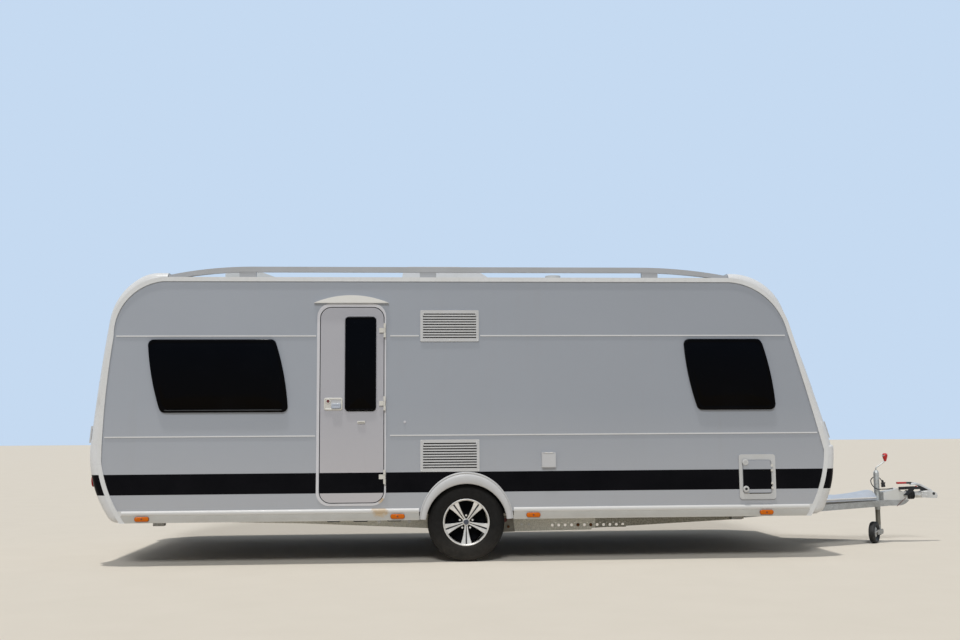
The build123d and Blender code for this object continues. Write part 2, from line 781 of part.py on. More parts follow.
# Small hinges: the piece's pin middles, their direction, knuckle and pin radii and each
# knuckle's share of the length
SMALL_HINGES = {
    "service_flap": (
        [(fore(HATCH_FLAP[1] + 3), -HATCH_FACE - 5.5, z) for z in (610, 758)], (0, 0, 1), 5.5, 3.0, 20.0
    ),
    "cassette_flap": (
        [(fore(LEFT_HATCH_FLAP[1] + 3), HATCH_FACE + 5.5, z) for z in (610, 758)], (0, 0, 1), 5.5, 3.0, 20.0
    ),
    "inlet_lid": (
        [(fore((INLET[0] + INLET[1]) / 2), -INLET_FACE - 4, INLET[3] - 5)], (1, 0, 0), 4.0, 2.0, 22.0
    ),
    "gas_locker_lid": (
        [(LID_FACE + 7, y, LOCKER_HIGH + 4) for y in (-520, 520)], (0, 1, 0), 7.0, 4.0, 42.0
    ),
}


def small_knuckles(name):
    """Middle knuckles of a small hinge, which turn with its flap."""
    points, way, radius, pin, share = SMALL_HINGES[name]
    with BuildPart() as rings:
        for point in points:
            add(knuckle(point, way, radius, share - 1, pin + RUNNING))
    return rings.part


with BuildPart() as gas_locker_lid:
    with BuildPart(mode=Mode.PRIVATE) as lid_core:
        add(end_block(FRONT_SKIN, -LID_T))
    add(end_block(FRONT_SKIN))
    add(bulge_block())
    add(lid_core.part, mode=Mode.SUBTRACT)
    lid_half = LOCKER_HALF - LID_GAP
    lid_low = LOCKER_LOW + LID_GAP
    lid_high = LOCKER_HIGH - LID_GAP
    lid_prism = face_prism(lid_half, lid_low, lid_high, 24, AHEAD, fore(LOCKER_BACK))
    add(lid_prism, mode=Mode.INTERSECT)
    add(small_knuckles("gas_locker_lid"))
    points, _, _, _, share = SMALL_HINGES["gas_locker_lid"]
    for x, y, z in points:
        half = share / 2 - 0.5
        box_at((LID_FACE, y - half, z - 26), (x, y + half, z - 4.5))
        box_at((LID_FACE - 4, y - half, z - 26), (x, y + half, z - 12))
keep(gas_locker_lid, "gas_locker_lid")

HINGE_X = fore(DOOR_FRONT + DOOR_HINGE_AHEAD)
HINGE_Y = -(WALL_Y + DOOR_HINGE_OUT)

with BuildPart() as door_frame:
    opening = grown(DOOR, DOOR_GAP)
    add(wall_ring(-1, DOOR_OUTER, opening, DOOR_R + 20, DOOR_R + DOOR_GAP, 5, -SEAT))
    add(wall_ring(-1, grown(DOOR_OUTER, -12 - SEAT), opening, DOOR_R + 6, DOOR_R + DOOR_GAP, SEAT, WALL_T))
    for out, radius, height in ((SEAT, 11, 4), (SEAT + 4, 5, 6)):
        with BuildSketch(wall_plane(-1, out)):
            with Locations((fore(CATCH_AHEAD), CATCH_Z)):
                Circle(radius)
        extrude(amount=height)
keep(door_frame, "door_frame")

with BuildPart() as door_leaf:
    add(wall_slab(-1, DOOR, DOOR_R, DOOR_PROUD, DOOR_T - DOOR_PROUD))
    with BuildSketch(wall_plane(-1, DOOR_PROUD)):
        add(wall_rectangle(-1, DOOR_WINDOW, 24, 8))
    extrude(amount=-2 * DOOR_T, mode=Mode.SUBTRACT)
keep(door_leaf, "door_leaf")

with BuildPart() as door_window:
    with BuildSketch(wall_plane(-1, DOOR_PROUD + SEAT)):
        add(wall_rectangle(-1, DOOR_WINDOW, 30))
    extrude(amount=9)
    chamfer(door_window.faces().sort_by(Axis.Y)[0].edges(), 5)
keep(door_window, "door_window")

with BuildPart() as door_handle:
    out = DOOR_PROUD + SEAT
    rear, front, low, high = HANDLE
    add(wall_slab(-1, HANDLE, 30, out + HANDLE_PLATE_T, -out))
    grip_low = (fore(rear + 48), -(WALL_Y + out + HANDLE_PLATE_T - 1), low + 42)
    grip_high = (fore(front - 14), -(WALL_Y + out + GRIP_OUT), low + 66)
    box_at(grip_low, grip_high)
    add(wall_slab(-1, CATCH_BAR, 8, out + HANDLE_PLATE_T - 1, -out))
keep(door_handle, "door_handle")

with BuildPart() as door_hinge_leaves:
    for height in DOOR_HINGES:
        with Locations((HINGE_X, HINGE_Y, height)):
            Cylinder(HINGE_R, HINGE_H / 3 - 1)
            Cylinder(HINGE_PIN_R + RUNNING, HINGE_H, mode=Mode.SUBTRACT)
        leaf_low = (HINGE_X - 46, HINGE_Y + HINGE_R - 5, height - HINGE_H / 6 + 0.5)
        leaf_high = (HINGE_X - 5.5, -(WALL_Y + DOOR_PROUD + SEAT), height + HINGE_H / 6 - 0.5)
        box_at(leaf_low, leaf_high)
keep(door_hinge_leaves, "door_hinge_leaves")

with BuildPart() as hinge_pins:
    for height in DOOR_HINGES:
        with Locations((HINGE_X, HINGE_Y, height)):
            Cylinder(HINGE_PIN_R, HINGE_H)
        for end in (-1, 1):
            centre = height + end * HINGE_H / 3
            block_low = (HINGE_X - HINGE_R, HINGE_Y - HINGE_R, centre - HINGE_H / 6 + 0.5)
            block_high = (HINGE_X + HINGE_R, -(WALL_Y + 5 + SEAT), centre + HINGE_H / 6 - 0.5)
            box_at(block_low, block_high)
    for points, way, radius, pin, share in SMALL_HINGES.values():
        for point in points:
            add(knuckle(point, way, pin, 3 * share - 1))
            for end in (-1, 1):
                x, y, z = along(point, way, end * share)
                half = share / 2 - 0.5
                if way[2]:
                    outer = y + y / abs(y) * radius
                    wall = y / abs(y) * HATCH_FACE
                    box_at((x - radius, outer, z - half), (x + 14, wall, z + half))
                elif way[0]:
                    add(knuckle((x, y, z), way, radius, share - 1))
                    box_at((x - half, y, z), (x + half, -INLET_FACE, z + 5))
                else:
                    box_at((LID_FACE, y - half, z - radius), (x + radius, y + half, z + radius))
keep(hinge_pins, "hinge_pins")

with BuildPart() as door_canopy:
    rear, front, low, high = CANOPY
    with BuildSketch(wall_plane(-1, SEAT)):
        with BuildLine():
            brow = ThreePointArc((fore(rear), low), (fore((rear + front) / 2), high), (fore(front), low))
            Line(brow @ 1, brow @ 0)
        make_face()
    extrude(amount=CANOPY_OUT - SEAT)
keep(door_canopy, "door_canopy")

# Fridge vents, service hatches and the power inlet

with BuildPart() as fridge_vents:
    for bounds in VENTS:
        rear, front, low, high = bounds
        add(wall_slab(-1, bounds, 8, VENT_PROUD, -SEAT))
        add(wall_slab(-1, grown(bounds, -22 - SEAT), 0, SEAT, WALL_T))
        pitch = (high - low - 44) / VENT_SLOTS
        with BuildSketch(wall_plane(-1, VENT_PROUD)):
            middle = (on_wall(-1, (rear + front) / 2), (low + high) / 2)
            with Locations(middle):
                with GridLocations(1, pitch, 1, VENT_SLOTS):
                    Rectangle(front - rear - 46, pitch * 0.45)
        extrude(amount=-(VENT_PROUD + WALL_T + 1), mode=Mode.SUBTRACT)
keep(fridge_vents, "fridge_vents")

with BuildPart() as hatch_frames:
    for side, frame, flap in ((-1, HATCH_FRAME, HATCH_FLAP), (1, LEFT_HATCH_FRAME, LEFT_HATCH_FLAP)):
        opening = grown(flap, HATCH_GAP)
        add(wall_ring(side, frame, opening, 26, 20, HATCH_PROUD, -SEAT))
        add(wall_ring(side, grown(frame, -12 - SEAT), opening, 0, 20, SEAT, WALL_T))
keep(hatch_frames, "hatch_frames")

for name, side, flap in (("service_flap", -1, HATCH_FLAP), ("cassette_flap", 1, LEFT_HATCH_FLAP)):
    with BuildPart() as hatch_flap:
        add(wall_slab(side, flap, 14, HATCH_PROUD - 3, FLAP_T - HATCH_PROUD + 3))
        add(small_knuckles(name))
        points, _, _, _, share = SMALL_HINGES[name]
        for x, y, z in points:
            half = share / 2 - 0.5
            box_at((x - 18, side * (WALL_Y + HATCH_PROUD - 4), z - half), (x - 4, y, z + half))
    keep(hatch_flap, name)

with BuildPart() as power_inlet:
    rear, front, low, high = INLET
    add(wall_ring(-1, INLET, grown(INLET, -8), 10, 6, INLET_OUT, -SEAT))
    add(wall_ring(-1, grown(INLET, -14 - SEAT), grown(INLET, -22), 0, 0, SEAT, WALL_T + 40))
    add(wall_slab(-1, grown(INLET, -14 - SEAT), 0, -WALL_T - 32, WALL_T + 40))
    with BuildSketch(wall_plane(-1, -WALL_T - 32)):
        with Locations((on_wall(-1, (rear + front) / 2), (low + high) / 2)):
            Circle(24)
            Circle(21, mode=Mode.SUBTRACT)
    extrude(amount=30)
keep(power_inlet, "power_inlet")

with BuildPart() as inlet_lid:
    with BuildSketch(wall_plane(-1, INLET_OUT + SEAT)):
        add(wall_rectangle(-1, grown(INLET, -4, -4, -4, -10), 8))
    extrude(amount=INLET_LID_T)
    add(small_knuckles("inlet_lid"))
    points, _, _, _, share = SMALL_HINGES["inlet_lid"]
    for x, y, z in points:
        half = share / 2 - 0.5
        box_at((x - half, -INLET_FACE, z - 9), (x + half, y + 1, z - 2.5))
keep(inlet_lid, "inlet_lid")

# Lamps, handles and roof furniture

with BuildPart() as side_markers:
    for _, side in SIDES:
        for place in MARKERS:
            bounds = grown((place, place, MARKER_Z, MARKER_Z), MARKER_L / 2, None, MARKER_H / 2, MARKER_H / 2)
            add(wall_slab(side, bounds, MARKER_H / 2 - 1, SKIRT_T + SEAT + MARKER_PROUD, -SKIRT_T - 2 * SEAT))
keep(side_markers, "side_markers")

with BuildPart() as rear_lamps:
    low, high = LAMP
    for _, side in SIDES:
        with BuildPart(mode=Mode.PRIVATE) as cluster:
            add(skin_layer(REAR_SKIN, WALL_Y - CORNER_R, SEAT, LAMP_PROUD))
            with Locations((fore(REAR_SKIN[4][0]), side * LAMP_Y, (low + high) / 2)):
                Box(8 * CORNER_R, LAMP_W, high - low, mode=Mode.INTERSECT)
        add(cluster.part)
keep(rear_lamps, "rear_lamps")

with BuildPart() as grab_handles:
    low, high = HANDLE_SPAN
    for _, side in SIDES:
        for points, ahead in ((FRONT_SKIN, BULGE_FACE[1][0]), (REAR_SKIN, REAR_SKIN[4][0])):
            middle = (fore(ahead), side * HANDLE_Y, (low + high) / 2)
            for under, foot in ((SEAT, HANDLE_FOOT), (HANDLE_PROUD - HANDLE_T, 0)):
                with BuildPart(mode=Mode.PRIVATE) as bar:
                    add(skin_layer(points, WALL_Y - CORNER_R, under, HANDLE_PROUD))
                    with Locations(middle):
                        Box(8 * CORNER_R, HANDLE_W, high - low, mode=Mode.INTERSECT)
                        if foot:
                            Box(8 * CORNER_R, 2 * HANDLE_W, high - low - 2 * foot, mode=Mode.SUBTRACT)
                add(bar.part)
keep(grab_handles, "grab_handles")

with BuildPart() as roof_rails:
    rear_tip, front_tip = [fore(place) for place in RAIL_ENDS]
    rear_bend, front_bend = [fore(place) for place in RAIL_BENDS]
    for _, side in SIDES:
        with BuildSketch(Plane.XZ.offset(-side * (RAIL_Y - RAIL_W / 2))):
            with BuildLine():
                crest = Line((rear_bend, RAIL_TOP), (front_bend, RAIL_TOP))
                nose = TangentArc(crest @ 1, (front_tip, RAIL_SEAT + RAIL_TIP), tangent=crest % 1)
                tail_way = (crest % 0) * -1
                tail = TangentArc(crest @ 0, (rear_tip, RAIL_SEAT + RAIL_TIP), tangent=tail_way)
                under_z = RAIL_TOP - RAIL_H
                under = Line((rear_bend, under_z), (front_bend, under_z))
                chin = TangentArc(under @ 1, (front_tip - 3 * RAIL_H, RAIL_SEAT), tangent=under % 1)
                heel = TangentArc(under @ 0, (rear_tip + 3 * RAIL_H, RAIL_SEAT), tangent=tail_way)
                Polyline(nose @ 1, (front_tip, RAIL_SEAT), chin @ 1)
                Polyline(tail @ 1, (rear_tip, RAIL_SEAT), heel @ 1)
            make_face()
        extrude(amount=-side * RAIL_W)
        for place in RAIL_FEET:
            box_at(
                (fore(place - 70), side * (RAIL_Y - 18), RAIL_SEAT - 2.5),
                (fore(place + 70), side * (RAIL_Y + 18), under_z + 5),
            )
keep(roof_rails, "roof_rails")

with BuildPart() as air_conditioner:
    rear, front = AIRCON
    base = ROOF_CROWN + SEAT
    rise = AIRCON_TOP - base
    with BuildSketch(Plane.XZ.offset(AIRCON_HALF)):
        with BuildLine():
            back = Line((fore(rear), base), (fore(rear) + 0.16 * rise, base + 0.86 * rise))
            shoulder = (fore(rear) + 0.25 * rise, base + 0.95 * rise)
            crest = Line((fore(rear) + 0.43 * rise, AIRCON_TOP), (fore(rear) + 2.5 * rise, AIRCON_TOP))
            ThreePointArc(back @ 1, shoulder, crest @ 0)
            nose = TangentArc(crest @ 1, (fore(front), base + 0.12 * rise), tangent=crest % 1)
            Polyline(nose @ 1, (fore(front), base), back @ 0)
        make_face()
    extrude(amount=-2 * AIRCON_HALF)
    with BuildSketch(Plane.YZ.offset(fore(rear))) as end_view:
        with Locations((0, base + rise / 2)):
            Rectangle(2 * AIRCON_HALF, rise)
        fillet(end_view.vertices().sort_by(Axis.Z)[-2:], AIRCON_R)
    extrude(amount=front - rear, mode=Mode.INTERSECT)
keep(air_conditioner, "air_conditioner")

with BuildPart() as rooflights:
    rear, front = ROOFLIGHT
    base = ROOF_CROWN + SEAT
    with BuildSketch(Plane.XZ.offset(ROOFLIGHT_HALF)):
        with BuildLine():
            Polyline(
                (fore(rear), base),
                (fore(rear), ROOFLIGHT_TOP - 40),
                (fore(rear + 40), ROOFLIGHT_TOP),
                (fore(rear + 260), ROOFLIGHT_TOP),
                (fore(front - 30), base + 70),
                (fore(front), base + 20),
                (fore(front), base),
                close=True,
            )
        make_face()
    extrude(amount=-2 * ROOFLIGHT_HALF)
    with Locations((fore(FLUE_X), 0, (ROOF_CROWN + FLUE_TOP) / 2)):
        Cylinder(FLUE_R, FLUE_TOP - ROOF_CROWN - 2 * SEAT)
keep(rooflights, "rooflights")

# Chassis: channel members, axle, drawbar and steadies


MEMBER_SIDE = (
    (MEMBER_REAR, MEMBER_TOP), (MEMBER_REAR, 330), (-1430, MEMBER_SHALLOW), (-301, MEMBER_DEEP),
    (1114, MEMBER_DEEP), (MEMBER_KNEE, MEMBER_SHALLOW - 8), (MEMBER_KNEE, MEMBER_TOP),
)
CROSS_TUBES = (-2200.0, -1250.0, 1500.0, MEMBER_KNEE - 40.0)

with BuildPart() as chassis_members:
    for _, side in SIDES:
        with BuildSketch(Plane.XZ.offset(-side * MEMBER_Y)) as profile:
            with BuildLine():
                Polyline(*placed(MEMBER_SIDE), close=True)
            make_face()
        extrude(amount=-side * MEMBER_FLANGE)
        with BuildSketch(Plane.XZ.offset(-side * MEMBER_Y)):
            with BuildLine():
                Polyline(*placed(MEMBER_SIDE), close=True)
            make_face()
            offset(amount=-MEMBER_T)
        extrude(amount=-side * (MEMBER_FLANGE - MEMBER_T), mode=Mode.SUBTRACT)
        with BuildSketch(Plane.XZ.offset(-side * MEMBER_Y)):
            start, count = HOLE_ROW
            for step in range(count):
                with Locations((fore(start + step * HOLE_PITCH), HOLE_Z)):
                    RegularPolygon(HOLE_R, HOLE_SIDES)
            with Locations((fore(AXLE_TUBE_AHEAD), AXLE_TUBE_Z)):
                Circle(AXLE_TUBE_R + SEAT)
        extrude(amount=-side * 2 * MEMBER_FLANGE, mode=Mode.SUBTRACT)
    for place in CROSS_TUBES:
        inside = MEMBER_Y + MEMBER_FLANGE - MEMBER_T + 0.5
        box_at((fore(place - 20), -inside, 334), (fore(place + 20), inside, MEMBER_TOP - MEMBER_T))
keep(chassis_members, "chassis_members")

TUBE_X = fore(AXLE_TUBE_AHEAD)
TUBE_END = 905.0
HUB_BACK = WHEEL_Y - 70.0
STUB_END = WHEEL_Y - 40.0
STUB_R = 20.0

with BuildPart() as axle:
    with BuildSketch(Plane.XZ.offset(-TUBE_END)):
        with Locations((TUBE_X, AXLE_TUBE_Z)):
            RegularPolygon(AXLE_TUBE_R, 6)
    extrude(amount=2 * TUBE_END)
    for _, side in SIDES:
        with BuildSketch(Plane.XZ.offset(-side * (TUBE_END + SEAT))):
            with BuildLine():
                rise = TYRE_R - AXLE_TUBE_Z
                run = AXLE_TUBE_AHEAD
                lean = atan2(rise, run)
                big, small = 46.0, 30.0
                ahead_low = (TUBE_X - big * sin(lean), AXLE_TUBE_Z - big * cos(lean))
                ahead_high = (TUBE_X + big * sin(lean), AXLE_TUBE_Z + big * cos(lean))
                ahead_tip = (TUBE_X + big * cos(lean), AXLE_TUBE_Z - big * sin(lean))
                stub_low = (AXLE_X - small * sin(lean), TYRE_R - small * cos(lean))
                stub_high = (AXLE_X + small * sin(lean), TYRE_R + small * cos(lean))
                stub_tip = (AXLE_X - small * cos(lean), TYRE_R + small * sin(lean))
                ThreePointArc(ahead_low, ahead_tip, ahead_high)
                Line(ahead_high, stub_high)
                ThreePointArc(stub_high, stub_tip, stub_low)
                Line(stub_low, ahead_low)
            make_face()
        extrude(amount=-side * ARM_T)
        with BuildSketch(Plane.XZ.offset(-side * (TUBE_END + ARM_T))):
            with Locations((AXLE_X, TYRE_R)):
                Circle(STUB_R)
        extrude(amount=-side * (STUB_END - TUBE_END - ARM_T))
        with BuildSketch(Plane.XZ.offset(-side * (HUB_BACK - DRUM_T - 6))):
            with Locations((AXLE_X, TYRE_R)):
                Circle(DRUM_R)
        extrude(amount=-side * DRUM_T)
keep(axle, "axle")


with BuildPart() as drawbar:
    for _, side in SIDES:
        add(drawbar_member(side))
    with BuildSketch(Plane.XZ.offset(DRAWBAR_HEAD_Y)):
        with BuildLine():
            low, high = DRAWBAR_LOW[1], DRAWBAR_HIGH[1]
            keel = Line((fore(HEAD_BLOCK_REAR), low), (fore(DRAWBAR_NOSE - 110), low))
            prow = TangentArc(keel @ 1, (fore(DRAWBAR_NOSE), high), tangent=keel % 1)
            Polyline(prow @ 1, (fore(HEAD_BLOCK_REAR), high), keel @ 0)
        make_face()
    extrude(amount=-2 * DRAWBAR_HEAD_Y)
keep(drawbar, "drawbar")

with BuildPart() as drawbar_cover:
    edges = []
    for distance in (COVER_REAR, COVER_FRONT):
        share = (DRAWBAR_HEAD - distance) / (DRAWBAR_HEAD - MEMBER_KNEE)
        centre = DRAWBAR_HEAD_Y + share * (MEMBER_Y + DRAWBAR_T / 2 - DRAWBAR_HEAD_Y)
        top = DRAWBAR_HIGH[1] - share * (DRAWBAR_HIGH[1] - DRAWBAR_HIGH[0])
        edges.append((fore(distance), centre, top + SEAT))
    with BuildSketch(Plane.XY.offset(COVER_LOW)):
        with BuildLine():
            corners = [(x, centre + DRAWBAR_T / 2) for x, centre, _ in edges]
            Polyline(*corners, *[(x, -half) for x, half in reversed(corners)], close=True)
        make_face()
    extrude(amount=COVER_T)
    for _, side in SIDES:
        start, end = [(x, side * centre) for x, centre, _ in edges]
        feet = [top for _, _, top in edges]
        add(between(start, end, side, feet, (COVER_LOW + 1, COVER_LOW + 1), DRAWBAR_T / 2))
    with BuildSketch(Plane.XY.offset(COVER_LOW + COVER_T)):
        with BuildLine():
            (rear, rear_half), (front, front_half) = COVER_BULGE
            flank = [(fore(rear), rear_half), (fore(front), front_half)]
            Polyline(*flank, *[(x, -half) for x, half in reversed(flank)], close=True)
        make_face()
    extrude(amount=COVER_RISE, taper=COVER_DRAFT)
keep(drawbar_cover, "drawbar_cover")

with BuildPart() as overrun_housing:
    foot = DRAWBAR_HIGH[1] + SEAT
    with BuildSketch(Plane.XZ.offset(HOUSING_HALF)):
        with BuildLine():
            feet = [(fore(HOUSING_NOSE), foot), (fore(HOUSING_REAR), foot)]
            Polyline(*placed(HOUSING_SIDE), *feet, close=True)
        make_face()
    extrude(amount=-2 * HOUSING_HALF)
    with BuildSketch(Plane.YZ.offset(fore(HOUSING_NOSE - 40))):
        with Locations((0, HITCH_Z)):
            Circle(BELLOWS_R - BELLOWS_DEPTH)
    extrude(amount=HOUSING_FRONT - HOUSING_NOSE + 40 - SEAT)
keep(overrun_housing, "overrun_housing")

with BuildPart() as overrun_bellows:
    pitch = (BELLOWS_FRONT - HOUSING_FRONT) / BELLOWS_FOLDS
    with BuildSketch(Plane.YZ.offset(fore(HOUSING_FRONT))):
        with Locations((0, HITCH_Z)):
            RegularPolygon(BELLOWS_R - BELLOWS_DEPTH, BELLOWS_SIDES)
    extrude(amount=BELLOWS_FRONT - HOUSING_FRONT)
    for fold in range(BELLOWS_FOLDS):
        with BuildSketch(Plane.YZ.offset(fore(HOUSING_FRONT + (fold + 0.2) * pitch))):
            with Locations((0, HITCH_Z)):
                RegularPolygon(BELLOWS_R, BELLOWS_SIDES)
        extrude(amount=0.6 * pitch)
keep(overrun_bellows, "overrun_bellows")

with BuildPart() as coupling_head:
    neck = fore(HEAD_REAR)
    tip = fore(HITCH_REACH)
    with BuildSketch(Plane.YZ.offset(fore(BELLOWS_FRONT + SEAT))):
        with Locations((0, HITCH_Z)):
            Circle(HEAD_HALF - 4)
    extrude(amount=HEAD_REAR - BELLOWS_FRONT + 30)
    with BuildSketch(Plane.XZ.offset(HEAD_HALF)):
        with BuildLine():
            back = Line((neck, HITCH_Z - 26), (neck, HITCH_Z + 34))
            top = Line(back @ 1, (fore(BALL_X - 36), HITCH_Z + 44))
            crown = ThreePointArc(top @ 1, (fore(BALL_X + 4), HITCH_Z + 38), (tip - 18, HITCH_Z + 22))
            nose = ThreePointArc(crown @ 1, (tip, HITCH_Z - 6), (tip - 12, HITCH_Z - 34))
            Line(nose @ 1, back @ 0)
        make_face()
    extrude(amount=-2 * HEAD_HALF)
    flanks = coupling_head.edges().filter_by(lambda e: abs(abs(e.center().Y) - HEAD_HALF) < 1)
    upper = flanks.filter_by(lambda e: e.center().Z > HITCH_Z + 10)
    chamfer(upper.filter_by(lambda e: e.center().X > neck + 5), 10)
    with BuildSketch(Plane.XY.offset(HITCH_Z - 60)):
        with Locations((fore(BALL_X), 0)):
            Circle(BALL_R + BALL_CLEAR)
    extrude(amount=54, mode=Mode.SUBTRACT)
keep(coupling_head, "coupling_head")

with BuildPart() as hitch_handles:
    seat_rear, seat_front = HEAD_REAR + 12, BALL_X - 24
    top_rear, top_front = HITCH_Z + 36.5, HITCH_Z + 46
    with BuildSketch(Plane.XZ.offset(LEVER_W / 2)):
        with BuildLine():
            sole = Line((fore(seat_rear), top_rear), (fore(seat_front), top_front))
            back = ThreePointArc(sole @ 1, (fore(4515), 531), (fore(4425), 566))
            grip = [(fore(STABILISER_TIP), 571), (fore(STABILISER_TIP), 557)]
            tip = Polyline(back @ 1, *grip, (fore(4420), 551))
            ThreePointArc(tip @ 1, (fore(4478), 527), sole @ 0)
        make_face()
    extrude(amount=-LEVER_W)
    with BuildSketch(Plane.XZ.offset(HOUSING_HALF + SEAT)):
        with BuildLine():
            Polyline(*placed(BRAKE_LEVER), close=True)
        make_face()
    extrude(amount=BRAKE_LEVER_T)
keep(hitch_handles, "hitch_handles")

# Cables held by the hitch: the electric lead looped round the jockey wheel's tube, and the
# breakaway wire from the brake lever to the drawbar

with BuildPart() as hitch_cables:
    with BuildLine() as lead_path:
        Spline(*[(fore(x), y, z) for x, y, z in LEAD_ROUTE])
    with BuildSketch(Plane(lead_path.line @ 0, z_dir=lead_path.line % 0)):
        RegularPolygon(LEAD_R, LEAD_SIDES)
    sweep(path=lead_path.line)
    start, end = [Vector(fore(x), y, z) for x, y, z in BREAKAWAY]
    with BuildSketch(Plane(start, z_dir=end - start)):
        RegularPolygon(WIRE_R, LEAD_SIDES)
    extrude(amount=(end - start).length)
keep(hitch_cables, "hitch_cables")

# Jockey wheel: clamped tube, screwed leg, swivelling fork and wheel

YAW = radians(JOCKEY_YAW)
TRAIL_WAY = (-cos(YAW), -sin(YAW))
JOCKEY_PLANE = Plane(
    (fore(JOCKEY_X), 0, 0), x_dir=(TRAIL_WAY[0], TRAIL_WAY[1], 0), z_dir=(sin(YAW), -cos(YAW), 0)
)
JOCKEY_UP = 1 if JOCKEY_PLANE.y_dir.Z > 0 else -1

with BuildPart() as jockey_tube:
    with BuildSketch(Plane.XY.offset(JOCKEY_CLAMP_LOW)):
        with Locations((fore(JOCKEY_X), 0)):
            Circle(JOCKEY_TUBE_R)
            Circle(JOCKEY_LEG_R + RUNNING, mode=Mode.SUBTRACT)
    extrude(amount=JOCKEY_CAP - JOCKEY_CLAMP_LOW)
    with BuildSketch(Plane.XY.offset(JOCKEY_CAP)):
        with Locations((fore(JOCKEY_X), 0)):
            Circle(JOCKEY_TUBE_R)
    extrude(amount=24, taper=30)
    with BuildSketch(Plane.XY.offset(352)):
        with Locations((fore(JOCKEY_X), 0)):
            Rectangle(2 * CLAMP_REACH, 2 * CLAMP_HALF)
            Circle(JOCKEY_TUBE_R - 1, mode=Mode.SUBTRACT)
    extrude(amount=44)
    foot = (fore(JOCKEY_X), 0, JOCKEY_CAP)
    elbow = (fore(JOCKEY_X), 0, JOCKEY_CAP + CRANK_RISE[0])
    bend = (fore(JOCKEY_X) + CRANK_REACH, 0, JOCKEY_CAP + CRANK_RISE[1])
    grip = (fore(JOCKEY_X) + CRANK_REACH, 0, bend[2] + KNOB_H / 2)
    with BuildLine(Plane.XZ) as crank_path:
        FilletPolyline(*[(x, z) for x, _, z in (foot, elbow, bend, grip)], radius=CRANK_BEND_R)
    with BuildSketch(Plane(foot, z_dir=(0, 0, 1))):
        Circle(CRANK_ROD_R)
    sweep(path=crank_path.line)
    with BuildSketch(Plane.XZ):
        with BuildLine():
            x, low = bend[0], bend[2]
            belly = low + KNOB_H - KNOB_R
            stem = Line((x, low), (x + CRANK_ROD_R + 1, low))
            flare = Line(stem @ 1, (x + KNOB_R, belly))
            shoulder = (x + KNOB_R * cos(radians(45)), belly + KNOB_R * sin(radians(45)))
            dome = ThreePointArc(flare @ 1, shoulder, (x, low + KNOB_H))
            Line(dome @ 1, stem @ 0)
        make_face()
    revolve(axis=Axis(bend, (0, 0, 1)))
keep(jockey_tube, "jockey_tube")

with BuildPart() as jockey_leg:
    with BuildSketch(Plane.XY.offset(FORK_HIGH + 30)):
        with Locations((fore(JOCKEY_X), 0)):
            Circle(JOCKEY_LEG_R)
    extrude(amount=440 - FORK_HIGH)
    with BuildSketch(Plane.XY.offset(FORK_HIGH - 20)):
        with Locations((fore(JOCKEY_X), 0)):
            Circle(SPIGOT_R)
    extrude(amount=50 + SEAT)
keep(jockey_leg, "jockey_leg")

with BuildPart() as jockey_fork:
    with BuildSketch(Plane.XY.offset(FORK_LOW)):
        with Locations((fore(JOCKEY_X), 0)):
            Circle(JOCKEY_LEG_R)
    extrude(amount=FORK_HIGH + 30 - SEAT - FORK_LOW)
    for flank in (-1, 1):
        cheek = JOCKEY_W / 2 + 6
        with BuildSketch(JOCKEY_PLANE.offset(flank * cheek)):
            with Locations(((JOCKEY_TRAIL - 8) / 2, JOCKEY_UP * JOCKEY_R)):
                SlotOverall(JOCKEY_TRAIL + 46, 48)
        extrude(amount=flank * FORK_T)
    with BuildSketch(JOCKEY_PLANE.offset(-JOCKEY_W / 2 - 6.5)):
        with Locations((16, JOCKEY_UP * JOCKEY_R)):
            Rectangle(30, 48)
    extrude(amount=JOCKEY_W + 13)
    with BuildSketch(JOCKEY_PLANE.offset(-JOCKEY_W / 2 - 6.5)):
        with Locations((JOCKEY_TRAIL, JOCKEY_UP * JOCKEY_R)):
            Circle(FORK_PIN_R)
    extrude(amount=JOCKEY_W + 13)
    with BuildSketch(Plane.XY.offset(FORK_HIGH - 20 - SEAT)):
        with Locations((fore(JOCKEY_X), 0)):
            Circle(SPIGOT_R + RUNNING)
    extrude(amount=60, mode=Mode.SUBTRACT)
keep(jockey_fork, "jockey_fork")

with BuildPart() as jockey_wheel:
    with BuildSketch(JOCKEY_PLANE.offset(-JOCKEY_W / 2)):
        with Locations((JOCKEY_TRAIL, JOCKEY_UP * JOCKEY_R)):
            Circle(JOCKEY_R)
            Circle(FORK_PIN_R + RUNNING, mode=Mode.SUBTRACT)
    extrude(amount=JOCKEY_W)
    rims = jockey_wheel.edges().filter_by(GeomType.CIRCLE).filter_by(lambda e: e.radius > 50)
    chamfer(rims, 14)
keep(jockey_wheel, "jockey_wheel")

# Corner steadies, folded up under the floor

for end_name, hinge, way in STEADIES:
    for side_name, side in SIDES:
        with BuildPart() as steady:
            foot_l, foot_w, foot_t = STEADY_FOOT
            low_corner = (fore(hinge + way * 12), side * (STEADY_Y - STEADY_W / 2), STEADY_Z - STEADY_EYE_R)
            high_corner = (fore(hinge + way * STEADY_L), side * (STEADY_Y + STEADY_W / 2), STEADY_Z + 10)
            box_at(low_corner, high_corner)
            with Locations((fore(hinge), side * STEADY_Y, STEADY_Z)):
                Cylinder(STEADY_EYE_R, STEADY_W, rotation=(90, 0, 0))
                Cylinder(STEADY_PIN_R + RUNNING, STEADY_W, rotation=(90, 0, 0), mode=Mode.SUBTRACT)
            foot_top = STEADY_Z - STEADY_EYE_R + 0.5
            heel = fore(hinge + way * (STEADY_L - foot_l))
            foot_low = (heel, side * (STEADY_Y - foot_w / 2), foot_top - foot_t)
            foot_high = (fore(hinge + way * STEADY_L), side * (STEADY_Y + foot_w / 2), foot_top)
            box_at(foot_low, foot_high)
        keep(steady, f"steady_{end_name}_{side_name}")

